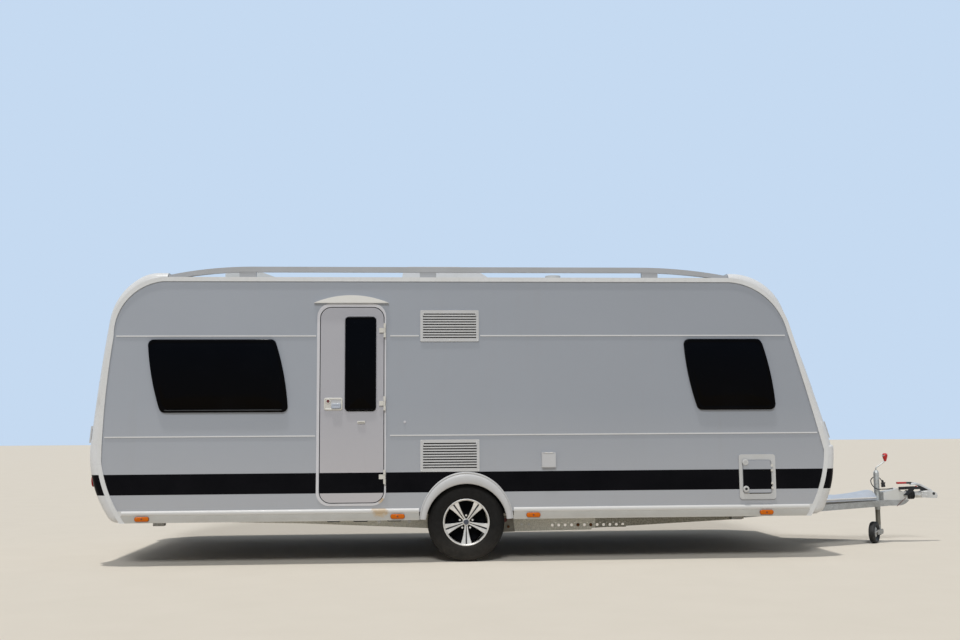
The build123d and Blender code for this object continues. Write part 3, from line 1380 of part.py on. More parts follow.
with BuildPart() as steady_brackets:
    for end_name, hinge, way in STEADIES:
        for _, side in SIDES:
            for flank in (-1, 1):
                inner = side * STEADY_Y + flank * (STEADY_W / 2 + SEAT)
                plate_low = (fore(hinge - 22), inner, STEADY_Z - 18)
                plate_high = (fore(hinge + 22), inner + flank * 6, FLOOR_TOP - FLOOR_T - SEAT)
                box_at(plate_low, plate_high)
            with Locations((fore(hinge), side * STEADY_Y, STEADY_Z)):
                Cylinder(STEADY_PIN_R, STEADY_W + 4, rotation=(90, 0, 0))
keep(steady_brackets, "steady_brackets")

# Road wheels

RIM_BACK = WHEEL_Y - TYRE_W / 2 + 6
RIM_FACE = WHEEL_Y + TYRE_W / 2 - 8
SPOKE_Y = WHEEL_Y + 76.0
SPOKE_T = 28.0

# Right half of the tyre's section as (out from its middle, radius), from bead to tread
TYRE_HALF = ((TYRE_W / 2 - 14, BEAD_R + 2.2), (TYRE_W / 2, 250), (TREAD_W / 2, TYRE_R))

# One bar of a spoke pair as (along the spoke's middle line, away from it)
SPOKE_BAR = ((HUB_FACE_R / 2, 3), (SPOKE_R, 9), (SPOKE_R, 38), (HUB_FACE_R / 2, 22))


def hub_plane(side, out):
    """Upright plane across a road wheel's axis, facing outward."""
    return Plane((AXLE_X, side * out, TYRE_R), x_dir=(-side, 0, 0), z_dir=(0, side, 0))


for side_name, side in SIDES:
    with BuildPart() as tyre:
        with BuildSketch(Plane.YZ.offset(AXLE_X)):
            with BuildLine():
                outer = [(side * WHEEL_Y + out, TYRE_R + radius) for out, radius in TYRE_HALF]
                inner = [(side * WHEEL_Y - out, TYRE_R + radius) for out, radius in TYRE_HALF]
                Polyline(*outer, *reversed(inner), close=True)
            make_face()
        revolve(axis=Axis((AXLE_X, 0, TYRE_R), (0, 1, 0)))
    keep(tyre, f"tyre_{side_name}")

    with BuildPart() as rim:
        with BuildSketch(hub_plane(side, RIM_BACK)):
            Circle(BEAD_R + 2)
            Circle(BEAD_R - BARREL_T, mode=Mode.SUBTRACT)
        extrude(amount=RIM_FACE - RIM_BACK)
        with BuildSketch(hub_plane(side, RIM_FACE)):
            Circle(RIM_R)
            Circle(BEAD_R - BARREL_T, mode=Mode.SUBTRACT)
        extrude(amount=7)
        with BuildSketch(hub_plane(side, SPOKE_Y)):
            with BuildLine():
                for way in (-1, 1):
                    Polyline(*[(r, way * out) for r, out in SPOKE_BAR], close=True)
            make_face()
        spokes = extrude(amount=-SPOKE_T, mode=Mode.PRIVATE)
        for step in range(SPOKES):
            turn = -90 + step * 360 / SPOKES
            add(spokes.rotate(Axis((AXLE_X, 0, TYRE_R), (0, 1, 0)), turn))
        with BuildSketch(hub_plane(side, SPOKE_Y - 8)):
            Circle(HUB_FACE_R)
        extrude(amount=HUB_BACK - SPOKE_Y + 8)
        with BuildSketch(hub_plane(side, STUB_END - 40)):
            Circle(STUB_R + RUNNING)
        extrude(amount=42, mode=Mode.SUBTRACT)
    keep(rim, f"rim_{side_name}")
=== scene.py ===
"""Looks for the travel caravan: materials, fine pieces, light and the photo's camera.

Metres, with +X forward to the hitch, +Y left, +Z up and the door side at -Y. Places along
the body are distances ahead of the axle. Profiles and layers are in millimetres.
"""
import json
from math import atan2, cos, pi, radians, sin

import bpy
from mathutils import Matrix, Vector


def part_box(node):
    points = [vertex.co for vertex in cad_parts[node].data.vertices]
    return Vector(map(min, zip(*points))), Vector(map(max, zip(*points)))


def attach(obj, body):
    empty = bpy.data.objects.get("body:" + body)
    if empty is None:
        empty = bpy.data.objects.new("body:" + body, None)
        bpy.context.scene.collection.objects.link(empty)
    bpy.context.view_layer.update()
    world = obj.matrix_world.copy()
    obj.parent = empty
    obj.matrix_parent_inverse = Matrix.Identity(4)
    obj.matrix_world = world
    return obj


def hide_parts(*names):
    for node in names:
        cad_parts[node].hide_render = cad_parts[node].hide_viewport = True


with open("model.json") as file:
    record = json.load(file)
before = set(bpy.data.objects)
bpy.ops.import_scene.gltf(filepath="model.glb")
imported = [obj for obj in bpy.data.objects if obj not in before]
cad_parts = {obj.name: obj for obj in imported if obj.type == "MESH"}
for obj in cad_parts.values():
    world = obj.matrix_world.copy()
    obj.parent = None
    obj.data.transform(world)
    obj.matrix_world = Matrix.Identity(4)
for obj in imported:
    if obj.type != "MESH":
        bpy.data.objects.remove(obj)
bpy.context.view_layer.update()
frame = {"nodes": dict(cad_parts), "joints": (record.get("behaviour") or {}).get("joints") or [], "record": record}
NODES = frame["nodes"]
JOINTS = {joint["name"]: joint for joint in frame["joints"]}
NODE_SLOTS = {entry["node"]: entry["material_slot"] for entry in frame["record"]["subparts"]}

AXLE = Vector(JOINTS["wheel_right_spin"]["pos_m"])
WALL_Y = -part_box("side_wall_right")[0].y
WHEEL_Y = abs(AXLE.y)
TYRE_R = AXLE.z
SIDES = ((-1, "right"), (1, "left"))
OUTWARD = Vector((0, -1, 0))

# Camera: place, focal length on a 36 mm sensor, and turns from a level view along +Y
CAMERA_PLACE = (-1.2205, -10.461, 1.043)
LENS = 40.85
YAW, PITCH, ROLL = -0.0625, 0.1063, -0.007

# Stripe along the body, as heights, and how soft its edges are
STRIPE_LOW = 0.579
STRIPE_HIGH = 0.748
STRIPE_EDGE = 0.0008

# Side windows as (rear foot, front foot, sill, head), with one more on the left, their lean and bow
WINDOWS = ((-2.54, -1.49, 1.254, 1.866), (1.99, 2.665, 1.254, 1.864))
MIDDLE_WINDOW = (-0.42, 0.38, 1.254, 1.78)
WINDOW_LEAN = 0.115
WINDOW_BOW = 0.022

# Door side fittings as (rear, front, low, high)
DOOR = (-1.223, -0.694, 0.501, 2.134)
DOOR_R = 0.092
DOOR_WINDOW = (-1.018, -0.757, 1.259, 2.055)
DOOR_WINDOW_R = 0.034
HANDLE = (-1.193, -1.036, 1.267, 1.373)
CATCH_BAR = (-0.914, -0.847, 1.156, 1.178)
VENTS = ((-0.385, 0.113, 1.845, 2.112), (-0.386, 0.112, 0.75, 1.018))
FLAP_FACE = (2.359, 2.598, 0.549, 0.824)
MARKERS = (-2.668, -0.575, 0.561, 2.552)
MARKER_Z = 0.385

# Middle height of the overrun and the ball head
HITCH_Z = 0.448


def ahead(distance):
    """Model X of a distance ahead of the axle."""
    return AXLE.x + distance


def hitch(x, y, z):
    """Point at a distance ahead of the axle."""
    return Vector((ahead(x), y, z))


def hitch_line(*points):
    """Points of the hitch from (ahead, left, height) in mm."""
    return [hitch(*point) for point in metres(points)]


def face_of(node):
    """How far a node on the door side stands out from the wall."""
    return -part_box(node)[0].y - WALL_Y


def metres(rows):
    """Rows of millimetres as metres."""
    return [tuple(value / 1000 for value in row) for row in rows]


# Materials


class Shade:
    """Principled material and its procedural detail."""

    def __init__(self, name, color, roughness, metallic=0.0, specular=0.5):
        self.material = bpy.data.materials.new(name)
        self.material.use_nodes = True
        self.tree = self.material.node_tree
        self.sockets = self.tree.nodes["Principled BSDF"].inputs
        self.feed("Base Color", color)
        self.feed("Roughness", roughness)
        self.feed("Metallic", metallic)
        self.feed("Specular IOR Level", specular)
        self.place = self.node("TexCoord").outputs["Object"]

    def feed(self, socket, value):
        """Wire an output to a socket, or set its value."""
        socket = self.sockets[socket] if isinstance(socket, str) else socket
        if isinstance(value, bpy.types.NodeSocket):
            self.tree.links.new(value, socket)
        else:
            socket.default_value = (*value, 1) if socket.type == "RGBA" else value

    def node(self, kind, **inputs):
        made = self.tree.nodes.new("ShaderNode" + kind)
        for name, value in inputs.items():
            self.feed(made.inputs[name.replace("_", " ")], value)
        return made

    def axis(self, name):
        return self.node("SeparateXYZ", Vector=self.place).outputs[name]

    def noise(self, scale, detail, roughness=0.6, stretch=None):
        source = self.place
        if stretch:
            source = self.node("Mapping", Vector=source, Scale=stretch).outputs["Vector"]
        made = self.node("TexNoise", Vector=source, Scale=scale, Detail=detail, Roughness=roughness)
        return made.outputs["Fac"]

    def span(self, value, start, end, low=0.0, high=1.0):
        """Number from low to high as a value runs from start to end."""
        made = self.node("MapRange", Value=value, From_Min=start, From_Max=end, To_Min=low, To_Max=high)
        return made.outputs["Result"]

    def cloud(self, scale, detail, start, end, low=0.0, high=1.0, roughness=0.6, stretch=None):
        """Noise spread from low to high."""
        return self.span(self.noise(scale, detail, roughness, stretch), start, end, low, high)

    def spangle(self, scale, end):
        """Crystal cells of a zinc coat."""
        cells = self.node("TexVoronoi", Vector=self.place, Scale=scale, Randomness=1.0)
        return self.span(cells.outputs["Distance"], 0.05, end)

    def math(self, operation, first, second):
        made = self.node("Math")
        made.operation = operation
        self.feed(made.inputs[0], first)
        self.feed(made.inputs[1], second)
        return made.outputs["Value"]

    def mix(self, factor, first, second, kind="RGBA"):
        """Blend of two colours, or of two numbers where kind is FLOAT."""
        made = self.node("Mix", Factor=factor)
        made.data_type = kind
        entry, result = (6, 2) if kind == "RGBA" else (2, 0)
        self.feed(made.inputs[entry], first)
        self.feed(made.inputs[entry + 1], second)
        return made.outputs[result]

    def done(self, base, rough, *bumps):
        """Material with its colour, roughness as (scale, low, high) and bumps as (strength, depth, noise)."""
        self.feed("Base Color", base)
        if isinstance(rough, tuple):
            scale, low, high = rough
            rough = self.cloud(scale, 5, 0.3, 0.7, low, high)
        self.feed("Roughness", rough)
        normal = self.sockets["Normal"]
        for strength, depth, *grain in bumps:
            height = self.noise(*grain) if len(grain) > 1 else grain[0]
            made = self.node("Bump", Height=height, Strength=strength, Distance=depth)
            if normal.links:
                self.feed(made.inputs["Normal"], normal.links[0].from_socket)
            self.feed(normal, made.outputs["Normal"])
        return self.material


def tinted(color, *gains):
    """Colour times one gain, or one for each channel."""
    gains = gains if len(gains) == 3 else gains * 3
    return tuple(part * gain for part, gain in zip(color, gains))


def dusty(shade, base, high, amount, dust=(0.36, 0.33, 0.28), low=0.3):
    """Road dust towards the foot of the caravan."""
    fall = shade.span(shade.axis("Z"), low, high, amount, 0.0)
    drift = shade.cloud(6, 6, 0.35, 0.75, 0.25, 1.0, 0.65)
    return shade.mix(shade.math("MULTIPLY", fall, drift), base, dust)


def striped(shade, base, rough):
    """Colour and roughness with a dark glossy film stripe along the body."""
    height = shade.axis("Z")
    rise = shade.span(height, STRIPE_LOW - STRIPE_EDGE, STRIPE_LOW + STRIPE_EDGE)
    fall = shade.span(height, STRIPE_HIGH - STRIPE_EDGE, STRIPE_HIGH + STRIPE_EDGE, 1.0, 0.0)
    band = shade.math("MULTIPLY", rise, fall)
    film = shade.mix(shade.cloud(3, 4, 0.3, 0.7), (0.0014, 0.0014, 0.0024), (0.0042, 0.004, 0.0055))
    shade.feed("Specular IOR Level", shade.mix(band, 0.4, 0.06, "FLOAT"))
    return shade.mix(band, base, film), shade.mix(band, rough, 0.22, "FLOAT")


def spilt(shade, base, centre, reach):
    """Ragged brown run-off mark on the door side."""
    spread = shade.cloud(28, 6, 0.3, 0.7, -0.5, 0.9, 0.7)
    for name, middle, half in zip("XZ", centre, reach):
        away = shade.math("DIVIDE", shade.math("SUBTRACT", shade.axis(name), middle), half)
        spread = shade.math("ADD", spread, shade.math("POWER", away, 2.0))
    near = shade.span(spread, 0.5, 1.3, 0.8, 0.0)
    side = shade.span(shade.axis("Y"), -1.18, -1.16, 1.0, 0.0)
    return shade.mix(shade.math("MULTIPLY", near, side), base, (0.5, 0.36, 0.2))


def coated_sheet(name, color, painted_light_rear_gain=1.05, painted_shade_front_gain=0.89):
    """Satin painted sheet with waves, flake and dust, painted shade towards the nose and painted light low down.
    """
    shade = Shade(name, color, 0.36)
    # Painted shade: the sheet darkens from the rear towards the nose.
    run = shade.span(shade.axis("X"), -3.6, 2.4)
    base = shade.mix(run, tinted(color, painted_light_rear_gain), tinted(color, painted_shade_front_gain))
    # Painted light: the sheet turns paler and warmer low down.
    base = shade.mix(shade.span(shade.axis("Z"), 0.42, 1.3), tinted(color, 1.26, 1.2, 1.13), base)
    base = shade.mix(shade.cloud(0.9, 3, 0.3, 0.7, 0.0, 0.12, 0.5), base, tinted(color, 0.72))
    base = shade.mix(shade.cloud(900, 2, 0.35, 0.7, 0.0, 0.5, 0.5), base, tinted(color, 1.1))
    streaks = shade.cloud(7, 5, 0.56, 0.78, 0.0, 0.1, 0.6, (1.0, 1.0, 0.07))
    base = dusty(shade, shade.mix(streaks, base, (0.3, 0.28, 0.25)), 0.62, 0.22)
    base, rough = striped(shade, base, shade.cloud(14, 5, 0.3, 0.75, 0.31, 0.44))
    return shade.done(base, rough, (0.2, 0.004, 1.6, 2, 0.4), (0.05, 0.0003, 420, 2))


def moulding(name, color, roughness=0.28, dust=0.25, stripe=False):
    """Glossy plastic with orange peel, faint stains and dust low down."""
    shade = Shade(name, color, roughness)
    stain = shade.cloud(3.5, 6, 0.42, 0.8, roughness=0.62)
    base = dusty(shade, shade.mix(stain, color, tinted(color, 0.93, 0.92, 0.89)), 0.8, dust)
    rough = shade.cloud(20, 5, 0.3, 0.75, roughness - 0.06, roughness + 0.12)
    if stripe:
        base, rough = striped(shade, base, rough)
    return shade.done(base, rough, (0.06, 0.0006, 260, 3))


def grained(name, color, roughness, grain=900, fade=(0.25, 0.25, 0.25), specular=0.35):
    """Grained plastic or rubber, paler where it has weathered."""
    shade = Shade(name, color, roughness, specular=specular)
    base = shade.mix(shade.cloud(9, 6, 0.45, 0.8, 0.0, 0.22, 0.65), color, fade)
    return shade.done(base, (30, roughness - 0.1, roughness + 0.12), (0.35, 0.0006, grain, 3, 0.7))


def tyre_rubber(name):
    """Tyre rubber, black above and paler below with painted light and some road dust."""
    shade = Shade(name, (0.011, 0.0102, 0.0096), 0.74, specular=0.16)
    worn = shade.cloud(9, 6, 0.4, 0.8, 0.0, 0.3, 0.65)
    base = shade.mix(worn, (0.0105, 0.0098, 0.0092), (0.026, 0.0235, 0.021))
    # Painted light with some road dust: the rubber turns paler towards the ground.
    low = shade.span(shade.axis("Z"), 0.02, 0.3, 0.75, 0.0)
    dust = shade.math("MULTIPLY", low, shade.cloud(14, 6, 0.3, 0.7, 0.35, 1.0, 0.7))
    base = shade.mix(dust, base, (0.045, 0.04, 0.034))
    return shade.done(base, (30, 0.62, 0.85), (0.3, 0.0006, 420, 3, 0.7))


def acrylic(name):
    """Near-black pane with haze, wipe marks and a painted reflection, browner low and bluer high."""
    shade = Shade(name, (0.0014, 0.0014, 0.002), 0.07, specular=0.035)
    # Painted reflection: ground brown in the low part of the pane, sky blue higher up.
    height = shade.span(shade.axis("Z"), 1.35, 1.8)
    base = shade.mix(height, (0.0022, 0.0017, 0.0014), (0.0014, 0.0017, 0.003))
    base = shade.mix(shade.cloud(2.3, 4, 0.5, 0.85, 0.0, 0.5, 0.55), base, (0.0036, 0.004, 0.0056))
    wiped = shade.cloud(11, 6, 0.35, 0.8, 0.05, 0.16, 0.7, (1.0, 1.0, 0.35))
    return shade.done(base, wiped, (0.15, 0.003, 3, 2, 0.4))


def zinc(name, color=(0.34, 0.335, 0.32), rust=0.35, dust=0.3):
    """Galvanised steel: spangle cells, dull patches and brown rust."""
    shade = Shade(name, color, 0.42, metallic=0.75)
    base = shade.mix(shade.spangle(130, 0.75), tinted(color, 0.82), tinted(color, 1.25))
    base = shade.mix(shade.cloud(12, 6, 0.4, 0.75), base, tinted(color, 0.74, 0.72, 0.67))
    spots = shade.cloud(26, 8, 0.6, 0.72, 0.0, rust, 0.75)
    base = shade.mix(spots, base, (0.17, 0.075, 0.03))
    shade.feed("Metallic", shade.span(spots, 0.0, rust, 0.6, 0.1))
    return shade.done(dusty(shade, base, 0.45, dust), (40, 0.34, 0.62), (0.25, 0.0008, 180, 4, 0.7))


def cast_metal(name, color=(0.3, 0.3, 0.295), roughness=0.4, metallic=0.7):
    """Cast and machined hitch metal with a dull coat."""
    shade = Shade(name, color, roughness, metallic)
    base = shade.mix(shade.cloud(15, 6, 0.35, 0.75, roughness=0.65), tinted(color, 1.12), tinted(color, 0.72))
    return shade.done(base, (60, roughness - 0.1, roughness + 0.15), (0.3, 0.0008, 240, 5, 0.75))


def lens(name, color):
    """Coloured lamp lens with moulded ribs inside."""
    shade = Shade(name, color, 0.14, specular=0.16)
    ribs = shade.node("TexWave", Vector=shade.place, Scale=38.0, Distortion=0.0).outputs["Fac"]
    base = shade.mix(shade.span(ribs, 0.2, 0.8), tinted(color, 0.72), tinted(color, 1.2))
    return shade.done(base, shade.cloud(60, 3, 0.3, 0.7, 0.08, 0.2), (0.3, 0.0015, ribs))


def rusty(name, color):
    """Brown steel with dark pits and bright scrapes."""
    shade = Shade(name, color, 0.8, metallic=0.1, specular=0.3)
    base = shade.mix(shade.cloud(70, 8, 0.3, 0.75, roughness=0.75), tinted(color, 0.45), tinted(color, 1.5))
    base = shade.mix(shade.cloud(35, 5, 0.66, 0.75, 0.0, 0.7, 0.7), base, (0.36, 0.33, 0.29))
    return shade.done(base, (50, 0.6, 0.9), (0.6, 0.001, 260, 6, 0.8))


def skirting(name):
    """Skirt: bright bead above a duller dusty sheet, with run-off below the door's hinges."""
    shade = Shade(name, (0.5, 0.5, 0.48), 0.38)
    lower = shade.mix(shade.cloud(5, 6, 0.3, 0.7), (0.46, 0.455, 0.43), (0.52, 0.515, 0.49))
    base = shade.mix(shade.span(shade.axis("Z"), 0.409, 0.412), lower, (0.62, 0.62, 0.615))
    base = dusty(shade, base, 0.4, 0.5, (0.4, 0.36, 0.29), 0.345)
    base = spilt(shade, base, (ahead(-0.722), 0.43), (0.07, 0.06))
    return shade.done(base, (25, 0.28, 0.5), (0.08, 0.0005, 200, 3))


def ring_plastic(name):
    """Lavender-white door surround with run-off at its lower hinge corner."""
    shade = Shade(name, (0.62, 0.62, 0.66), 0.32)
    base = shade.mix(shade.cloud(4, 5, 0.35, 0.75), (0.63, 0.63, 0.665), (0.57, 0.57, 0.6))
    base = dusty(shade, base, 0.62, 0.35, (0.44, 0.4, 0.33), 0.46)
    base = spilt(shade, base, (ahead(-0.7), 0.495), (0.035, 0.045))
    return shade.done(base, (25, 0.26, 0.45), (0.06, 0.0005, 240, 3))


def member_zinc(name):
    """Spangled chassis sheet with painted light in its pale rear tone, darker on the front extension."""
    shade = Shade(name, (0.25, 0.25, 0.22), 0.5, metallic=0.3, specular=0.4)
    spangle = shade.spangle(85, 0.7)
    # Painted light: the rear member's pale tone is raised to stand in for light falling on it.
    light = shade.mix(spangle, (0.42, 0.405, 0.34), (0.78, 0.75, 0.66))
    light = shade.mix(shade.cloud(150, 5, 0.3, 0.7, roughness=0.7), light, (0.58, 0.56, 0.48))
    dark = shade.mix(spangle, (0.17, 0.16, 0.125), (0.36, 0.34, 0.28))
    base = shade.mix(shade.span(shade.axis("X"), ahead(1.15), ahead(1.154)), light, dark)
    base = shade.mix(shade.cloud(24, 8, 0.64, 0.74, 0.0, 0.6, 0.75), base, (0.16, 0.085, 0.04))
    return shade.done(base, (40, 0.4, 0.65), (0.25, 0.0008, 180, 4, 0.7))


# Looks of the record's slots: maker, colour, then the maker's own values
SLOT_LOOKS = {
    "wall_silver": (coated_sheet, (0.334, 0.358, 0.402)),
    "door_silver": (coated_sheet, (0.415, 0.415, 0.45), 1.0, 1.0),
    "panel_white": (moulding, (0.68, 0.69, 0.705), 0.28, 0.25, True),
    "trim_white": (moulding, (0.69, 0.7, 0.71)),
    "trim_metal": (moulding, (0.66, 0.665, 0.675), 0.3),
    "plywood": (grained, (0.1, 0.085, 0.065), 0.75, 300),
    "plastic_grey": (moulding, (0.45, 0.46, 0.47), 0.5),
    "plastic_silver": (moulding, (0.52, 0.525, 0.54), 0.35, 0.15),
    "plastic_black": (grained, (0.012, 0.012, 0.013), 0.5),
    "acrylic_dark": (acrylic,),
    "rooflight_acrylic": (moulding, (0.6, 0.62, 0.63), 0.2),
    "lamp_amber": (lens, (0.6, 0.135, 0.003)),
    "lamp_red": (lens, (0.32, 0.012, 0.01)),
    "galvanised": (zinc,),
    "casting": (cast_metal,),
    "rubber_black": (grained, (0.01, 0.01, 0.01), 0.62, 700, (0.25, 0.25, 0.25), 0.25),
    "tyre_rubber": (tyre_rubber,),
    "alloy": (cast_metal, (0.74, 0.715, 0.68), 0.36, 0.35),
}
# Finer looks, each with the slot that it comes nearest to before its maker
FINER_LOOKS = {
    "cream_plastic": ("trim_white", moulding, (0.63, 0.617, 0.58), 0.4, 0.12),
    "hatch_plastic": ("plastic_silver", moulding, (0.54, 0.545, 0.55), 0.4, 0.12),
    "drawbar_zinc": ("galvanised", zinc, (0.38, 0.38, 0.37), 0.1, 0.1),
    "arch_plastic": ("plastic_silver", moulding, (0.54, 0.545, 0.56), 0.42, 0.2),
    "vent_plastic": ("plastic_silver", moulding, (0.54, 0.545, 0.555), 0.42, 0.1),
    "door_seal": ("rubber_black", grained, (0.035, 0.042, 0.062), 0.55),
    "grip_plastic": ("plastic_silver", moulding, (0.42, 0.46, 0.54), 0.35, 0.1),
    "alloy_dark": ("plastic_black", grained, (0.0035, 0.0037, 0.005), 0.7, 500, (0.012, 0.012, 0.014), 0.08),
    "alloy_cap": ("alloy", cast_metal, (0.085, 0.092, 0.115), 0.35, 0.5),
    "alloy_side": ("alloy", cast_metal, (0.07, 0.07, 0.075), 0.5, 0.3),
    "hitch_silver": ("casting", cast_metal, (0.6, 0.595, 0.575), 0.42, 0.35),
    "hitch_white": ("casting", moulding, (0.62, 0.63, 0.62), 0.4, 0.2),
    # Grey-white drawbar cover tinted blue as a painted sky reflection
    "cover_blue": ("panel_white", moulding, (0.44, 0.485, 0.56), 0.4, 0.1),
    "red_plastic": ("lamp_red", moulding, (0.5, 0.014, 0.012), 0.35, 0.0),
    "red_dark": ("lamp_red", moulding, (0.13, 0.012, 0.012), 0.5, 0.1),
    "wire_red": ("rubber_black", grained, (0.12, 0.025, 0.018), 0.6),
    "lamp_base": ("lamp_amber", grained, (0.16, 0.035, 0.01), 0.5, 900, (0.2, 0.06, 0.02)),
    "rusty_steel": ("galvanised", rusty, (0.16, 0.07, 0.028)),
    "skirt_metal": ("trim_metal", skirting),
    "member_zinc": ("galvanised", member_zinc),
    "rail_metal": ("trim_metal", moulding, (0.4, 0.41, 0.43), 0.4, 0.0),
    "door_ring": ("trim_white", ring_plastic),
    "canopy_plastic": ("trim_white", moulding, (0.73, 0.725, 0.7), 0.4, 0.0),
    "jockey_zinc": ("galvanised", zinc, (0.5, 0.51, 0.5), 0.1, 0.1),
    "leg_zinc": ("galvanised", zinc, (0.16, 0.145, 0.115), 0.5),
    "bright_metal": ("casting", cast_metal, (0.66, 0.655, 0.64), 0.35, 0.4),
}
LOOKS = {name: make(name, *values) for name, (make, *values) in SLOT_LOOKS.items()}
LOOKS.update({name: make(name, *values) for name, (_, make, *values) in FINER_LOOKS.items()})

# CAD nodes whose look isn't their slot's
REPAINTED = {
    "service_flap": "wall_silver", "hatch_frames": "hatch_plastic", "drawbar": "drawbar_zinc",
    "hinge_pins": "cream_plastic", "door_hinge_leaves": "cream_plastic", "wheel_arches": "arch_plastic",
    "fridge_vents": "vent_plastic", "drawbar_cover": "cover_blue", "overrun_housing": "hitch_white",
    "jockey_leg": "leg_zinc", "jockey_tube": "jockey_zinc", "side_skirts": "skirt_metal",
    "door_frame": "door_ring", "chassis_members": "member_zinc", "roof_rails": "rail_metal",
    "door_canopy": "canopy_plastic", "coupling_head": "hitch_silver",
}
for node, slot in NODE_SLOTS.items():
    NODES[node].data.materials.clear()
    NODES[node].data.materials.append(LOOKS[REPAINTED.get(node, slot)])


# Building blocks for the fine pieces


def linked(name, data):
    """New object in the scene."""
    made = bpy.data.objects.new(name, data)
    bpy.context.scene.collection.objects.link(made)
    return made


def circle(middle, radius, side, up, steps):
    """Points of a circle from its middle and two directions across it."""
    turns = (2 * pi * step / steps for step in range(steps))
    return [middle + radius * (cos(turn) * side + sin(turn) * up) for turn in turns]


def panel(rear, front, y, low, high):
    """Corners of an upright rectangle along the body, by model X."""
    return [Vector((x, y, z)) for x, z in ((rear, low), (front, low), (front, high), (rear, high))]


class Form:
    """Vertices and faces of one piece at a time, gathered with a look's mark per face."""

    def __init__(self):
        self.vertices, self.faces, self.marks = [], [], []

    def grid(self, rows, closed=False, mark=0, flip=False):
        """Faces between rows of points."""
        start = len(self.vertices)
        width = len(rows[0])
        for row in rows:
            self.vertices.extend(row)
        for step in range(len(rows) - 1):
            low, high = start + step * width, start + (step + 1) * width
            for place in range(width if closed else width - 1):
                beside = (place + 1) % width
                face = [low + place, low + beside, high + beside, high + place]
                self.faces.append(face[::-1] if flip else face)
                self.marks.append(mark)

    def cap(self, loop, mark=0, flip=False):
        """One face on a loop of points."""
        start = len(self.vertices)
        self.vertices.extend(loop)
        face = list(range(start, start + len(loop)))
        self.faces.append(face[::-1] if flip else face)
        self.marks.append(mark)

    def tube(self, rows, mark=0, closed=True, flip=False):
        """Grid with a face on each end."""
        self.grid(rows, closed, mark, flip)
        self.cap(rows[0], mark, not flip)
        self.cap(rows[-1], mark, flip)

    def prism(self, loop, push, mark=0):
        """Closed slab from a flat loop of points pushed along a vector."""
        self.tube([loop, [point + Vector(push) for point in loop]], mark)

    def lathe(self, centre, way, profile, steps=48, marks=0):
        """Turned surface from (along, radius) in mm, with one mark or one per band."""
        way = Vector(way).normalized()
        side = way.orthogonal().normalized()
        up = way.cross(side)
        rows = [circle(Vector(centre) + along * way, radius, side, up, steps)
                for along, radius in metres(profile)]
        if isinstance(marks, int):
            self.grid(rows, closed=True, mark=marks)
            return
        for pair, mark in zip(zip(rows, rows[1:]), marks):
            self.grid(pair, closed=True, mark=mark)

    def rod(self, points, radius, sides=10, mark=0):
        """Round rod along points, with one radius or one for each."""
        radii = radius if isinstance(radius, (list, tuple)) else [radius] * len(points)
        side = (points[1] - points[0]).normalized().orthogonal().normalized()
        rows = []
        for place, point in enumerate(points):
            way = (points[min(place + 1, len(points) - 1)] - points[max(place - 1, 0)]).normalized()
            side = (side - side.dot(way) * way).normalized()
            rows.append(circle(point, radii[place], side, way.cross(side), sides))
        self.tube(rows, mark)

    def boss(self, place, radius, base, layers, side=-1, mark=0, fill=True, steps=8, side_steps=1):
        """Rounded boss or ring on a side wall, with (inset, lift) layers in mm over a base."""
        rows = [on_side(side, rounded_loop(*place, radius, inset, steps, side_steps), base + lift)
                for inset, lift in metres(layers)]
        self.grid(rows, closed=True, mark=mark)
        if fill:
            self.cap(rows[-1], mark)

    def finish(self, name, looks, body="caravan", stands_for=(), crease=35):
        """Piece on a body from what is gathered, which empties the form."""
        looks = (looks,) if isinstance(looks, str) else looks
        mesh = bpy.data.meshes.new(name)
        mesh.from_pydata([tuple(vertex) for vertex in self.vertices], [], self.faces)
        mesh.validate()
        for look in looks:
            mesh.materials.append(LOOKS[look])
        for polygon, mark in zip(mesh.polygons, self.marks):
            polygon.material_index = mark
        mesh.shade_smooth()
        mesh.set_sharp_from_angle(angle=radians(crease))
        piece = linked(name, mesh)
        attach(piece, body)
        if stands_for:
            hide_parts(*stands_for)
        self.__init__()
        return piece


form = Form()


def smooth_route(points, steps=8):
    """Points of a smooth curve through given points."""
    ends = [2 * points[0] - points[1]] + points + [2 * points[-1] - points[-2]]
    route = []
    for p0, p1, p2, p3 in zip(ends, ends[1:], ends[2:], ends[3:]):
        for t in (step / steps for step in range(steps)):
            route.append(0.5 * (2 * p1 + (p2 - p0) * t + (2 * p0 - 5 * p1 + 4 * p2 - p3) * t * t
                                + (3 * p1 - p0 - 3 * p2 + p3) * t ** 3))
    return route + [points[-1]]


def rounded_loop(rear, front, low, high, radius, inset, corner_steps, side_steps):
    """Rounded rectangle as (ahead, height) pairs, counter-clockwise seen from the right."""
    rear, front, low, high = rear + inset, front - inset, low + inset, high - inset
    radius = max(radius - inset, 0.004)
    arcs = []
    for x, z, start in (
        (front - radius, low + radius, -90), (front - radius, high - radius, 0),
        (rear + radius, high - radius, 90), (rear + radius, low + radius, 180),
    ):
        turns = [radians(start + 90 * step / corner_steps) for step in range(corner_steps + 1)]
        arcs.append([(x + radius * cos(turn), z + radius * sin(turn)) for turn in turns])
    loop = []
    for arc, following in zip(arcs, arcs[1:] + arcs[:1]):
        loop += arc
        for step in range(1, side_steps):
            loop.append(tuple(a + step / side_steps * (b - a) for a, b in zip(arc[-1], following[0])))
    return loop


def on_side(side, loop, out):
    """Side-wall loop at a height above the wall, winding outward."""
    points = [Vector((ahead(x), side * (WALL_Y + out), z)) for x, z in loop]
    return points if side < 0 else points[::-1]


def mirrored(flank, crown):
    """Section across the hitch: flank, crown and mirrored flank."""
    return [(-y, z) for y, z in flank] + [crown] + [(y, z) for y, z in reversed(flank)]


# Windows and the door side


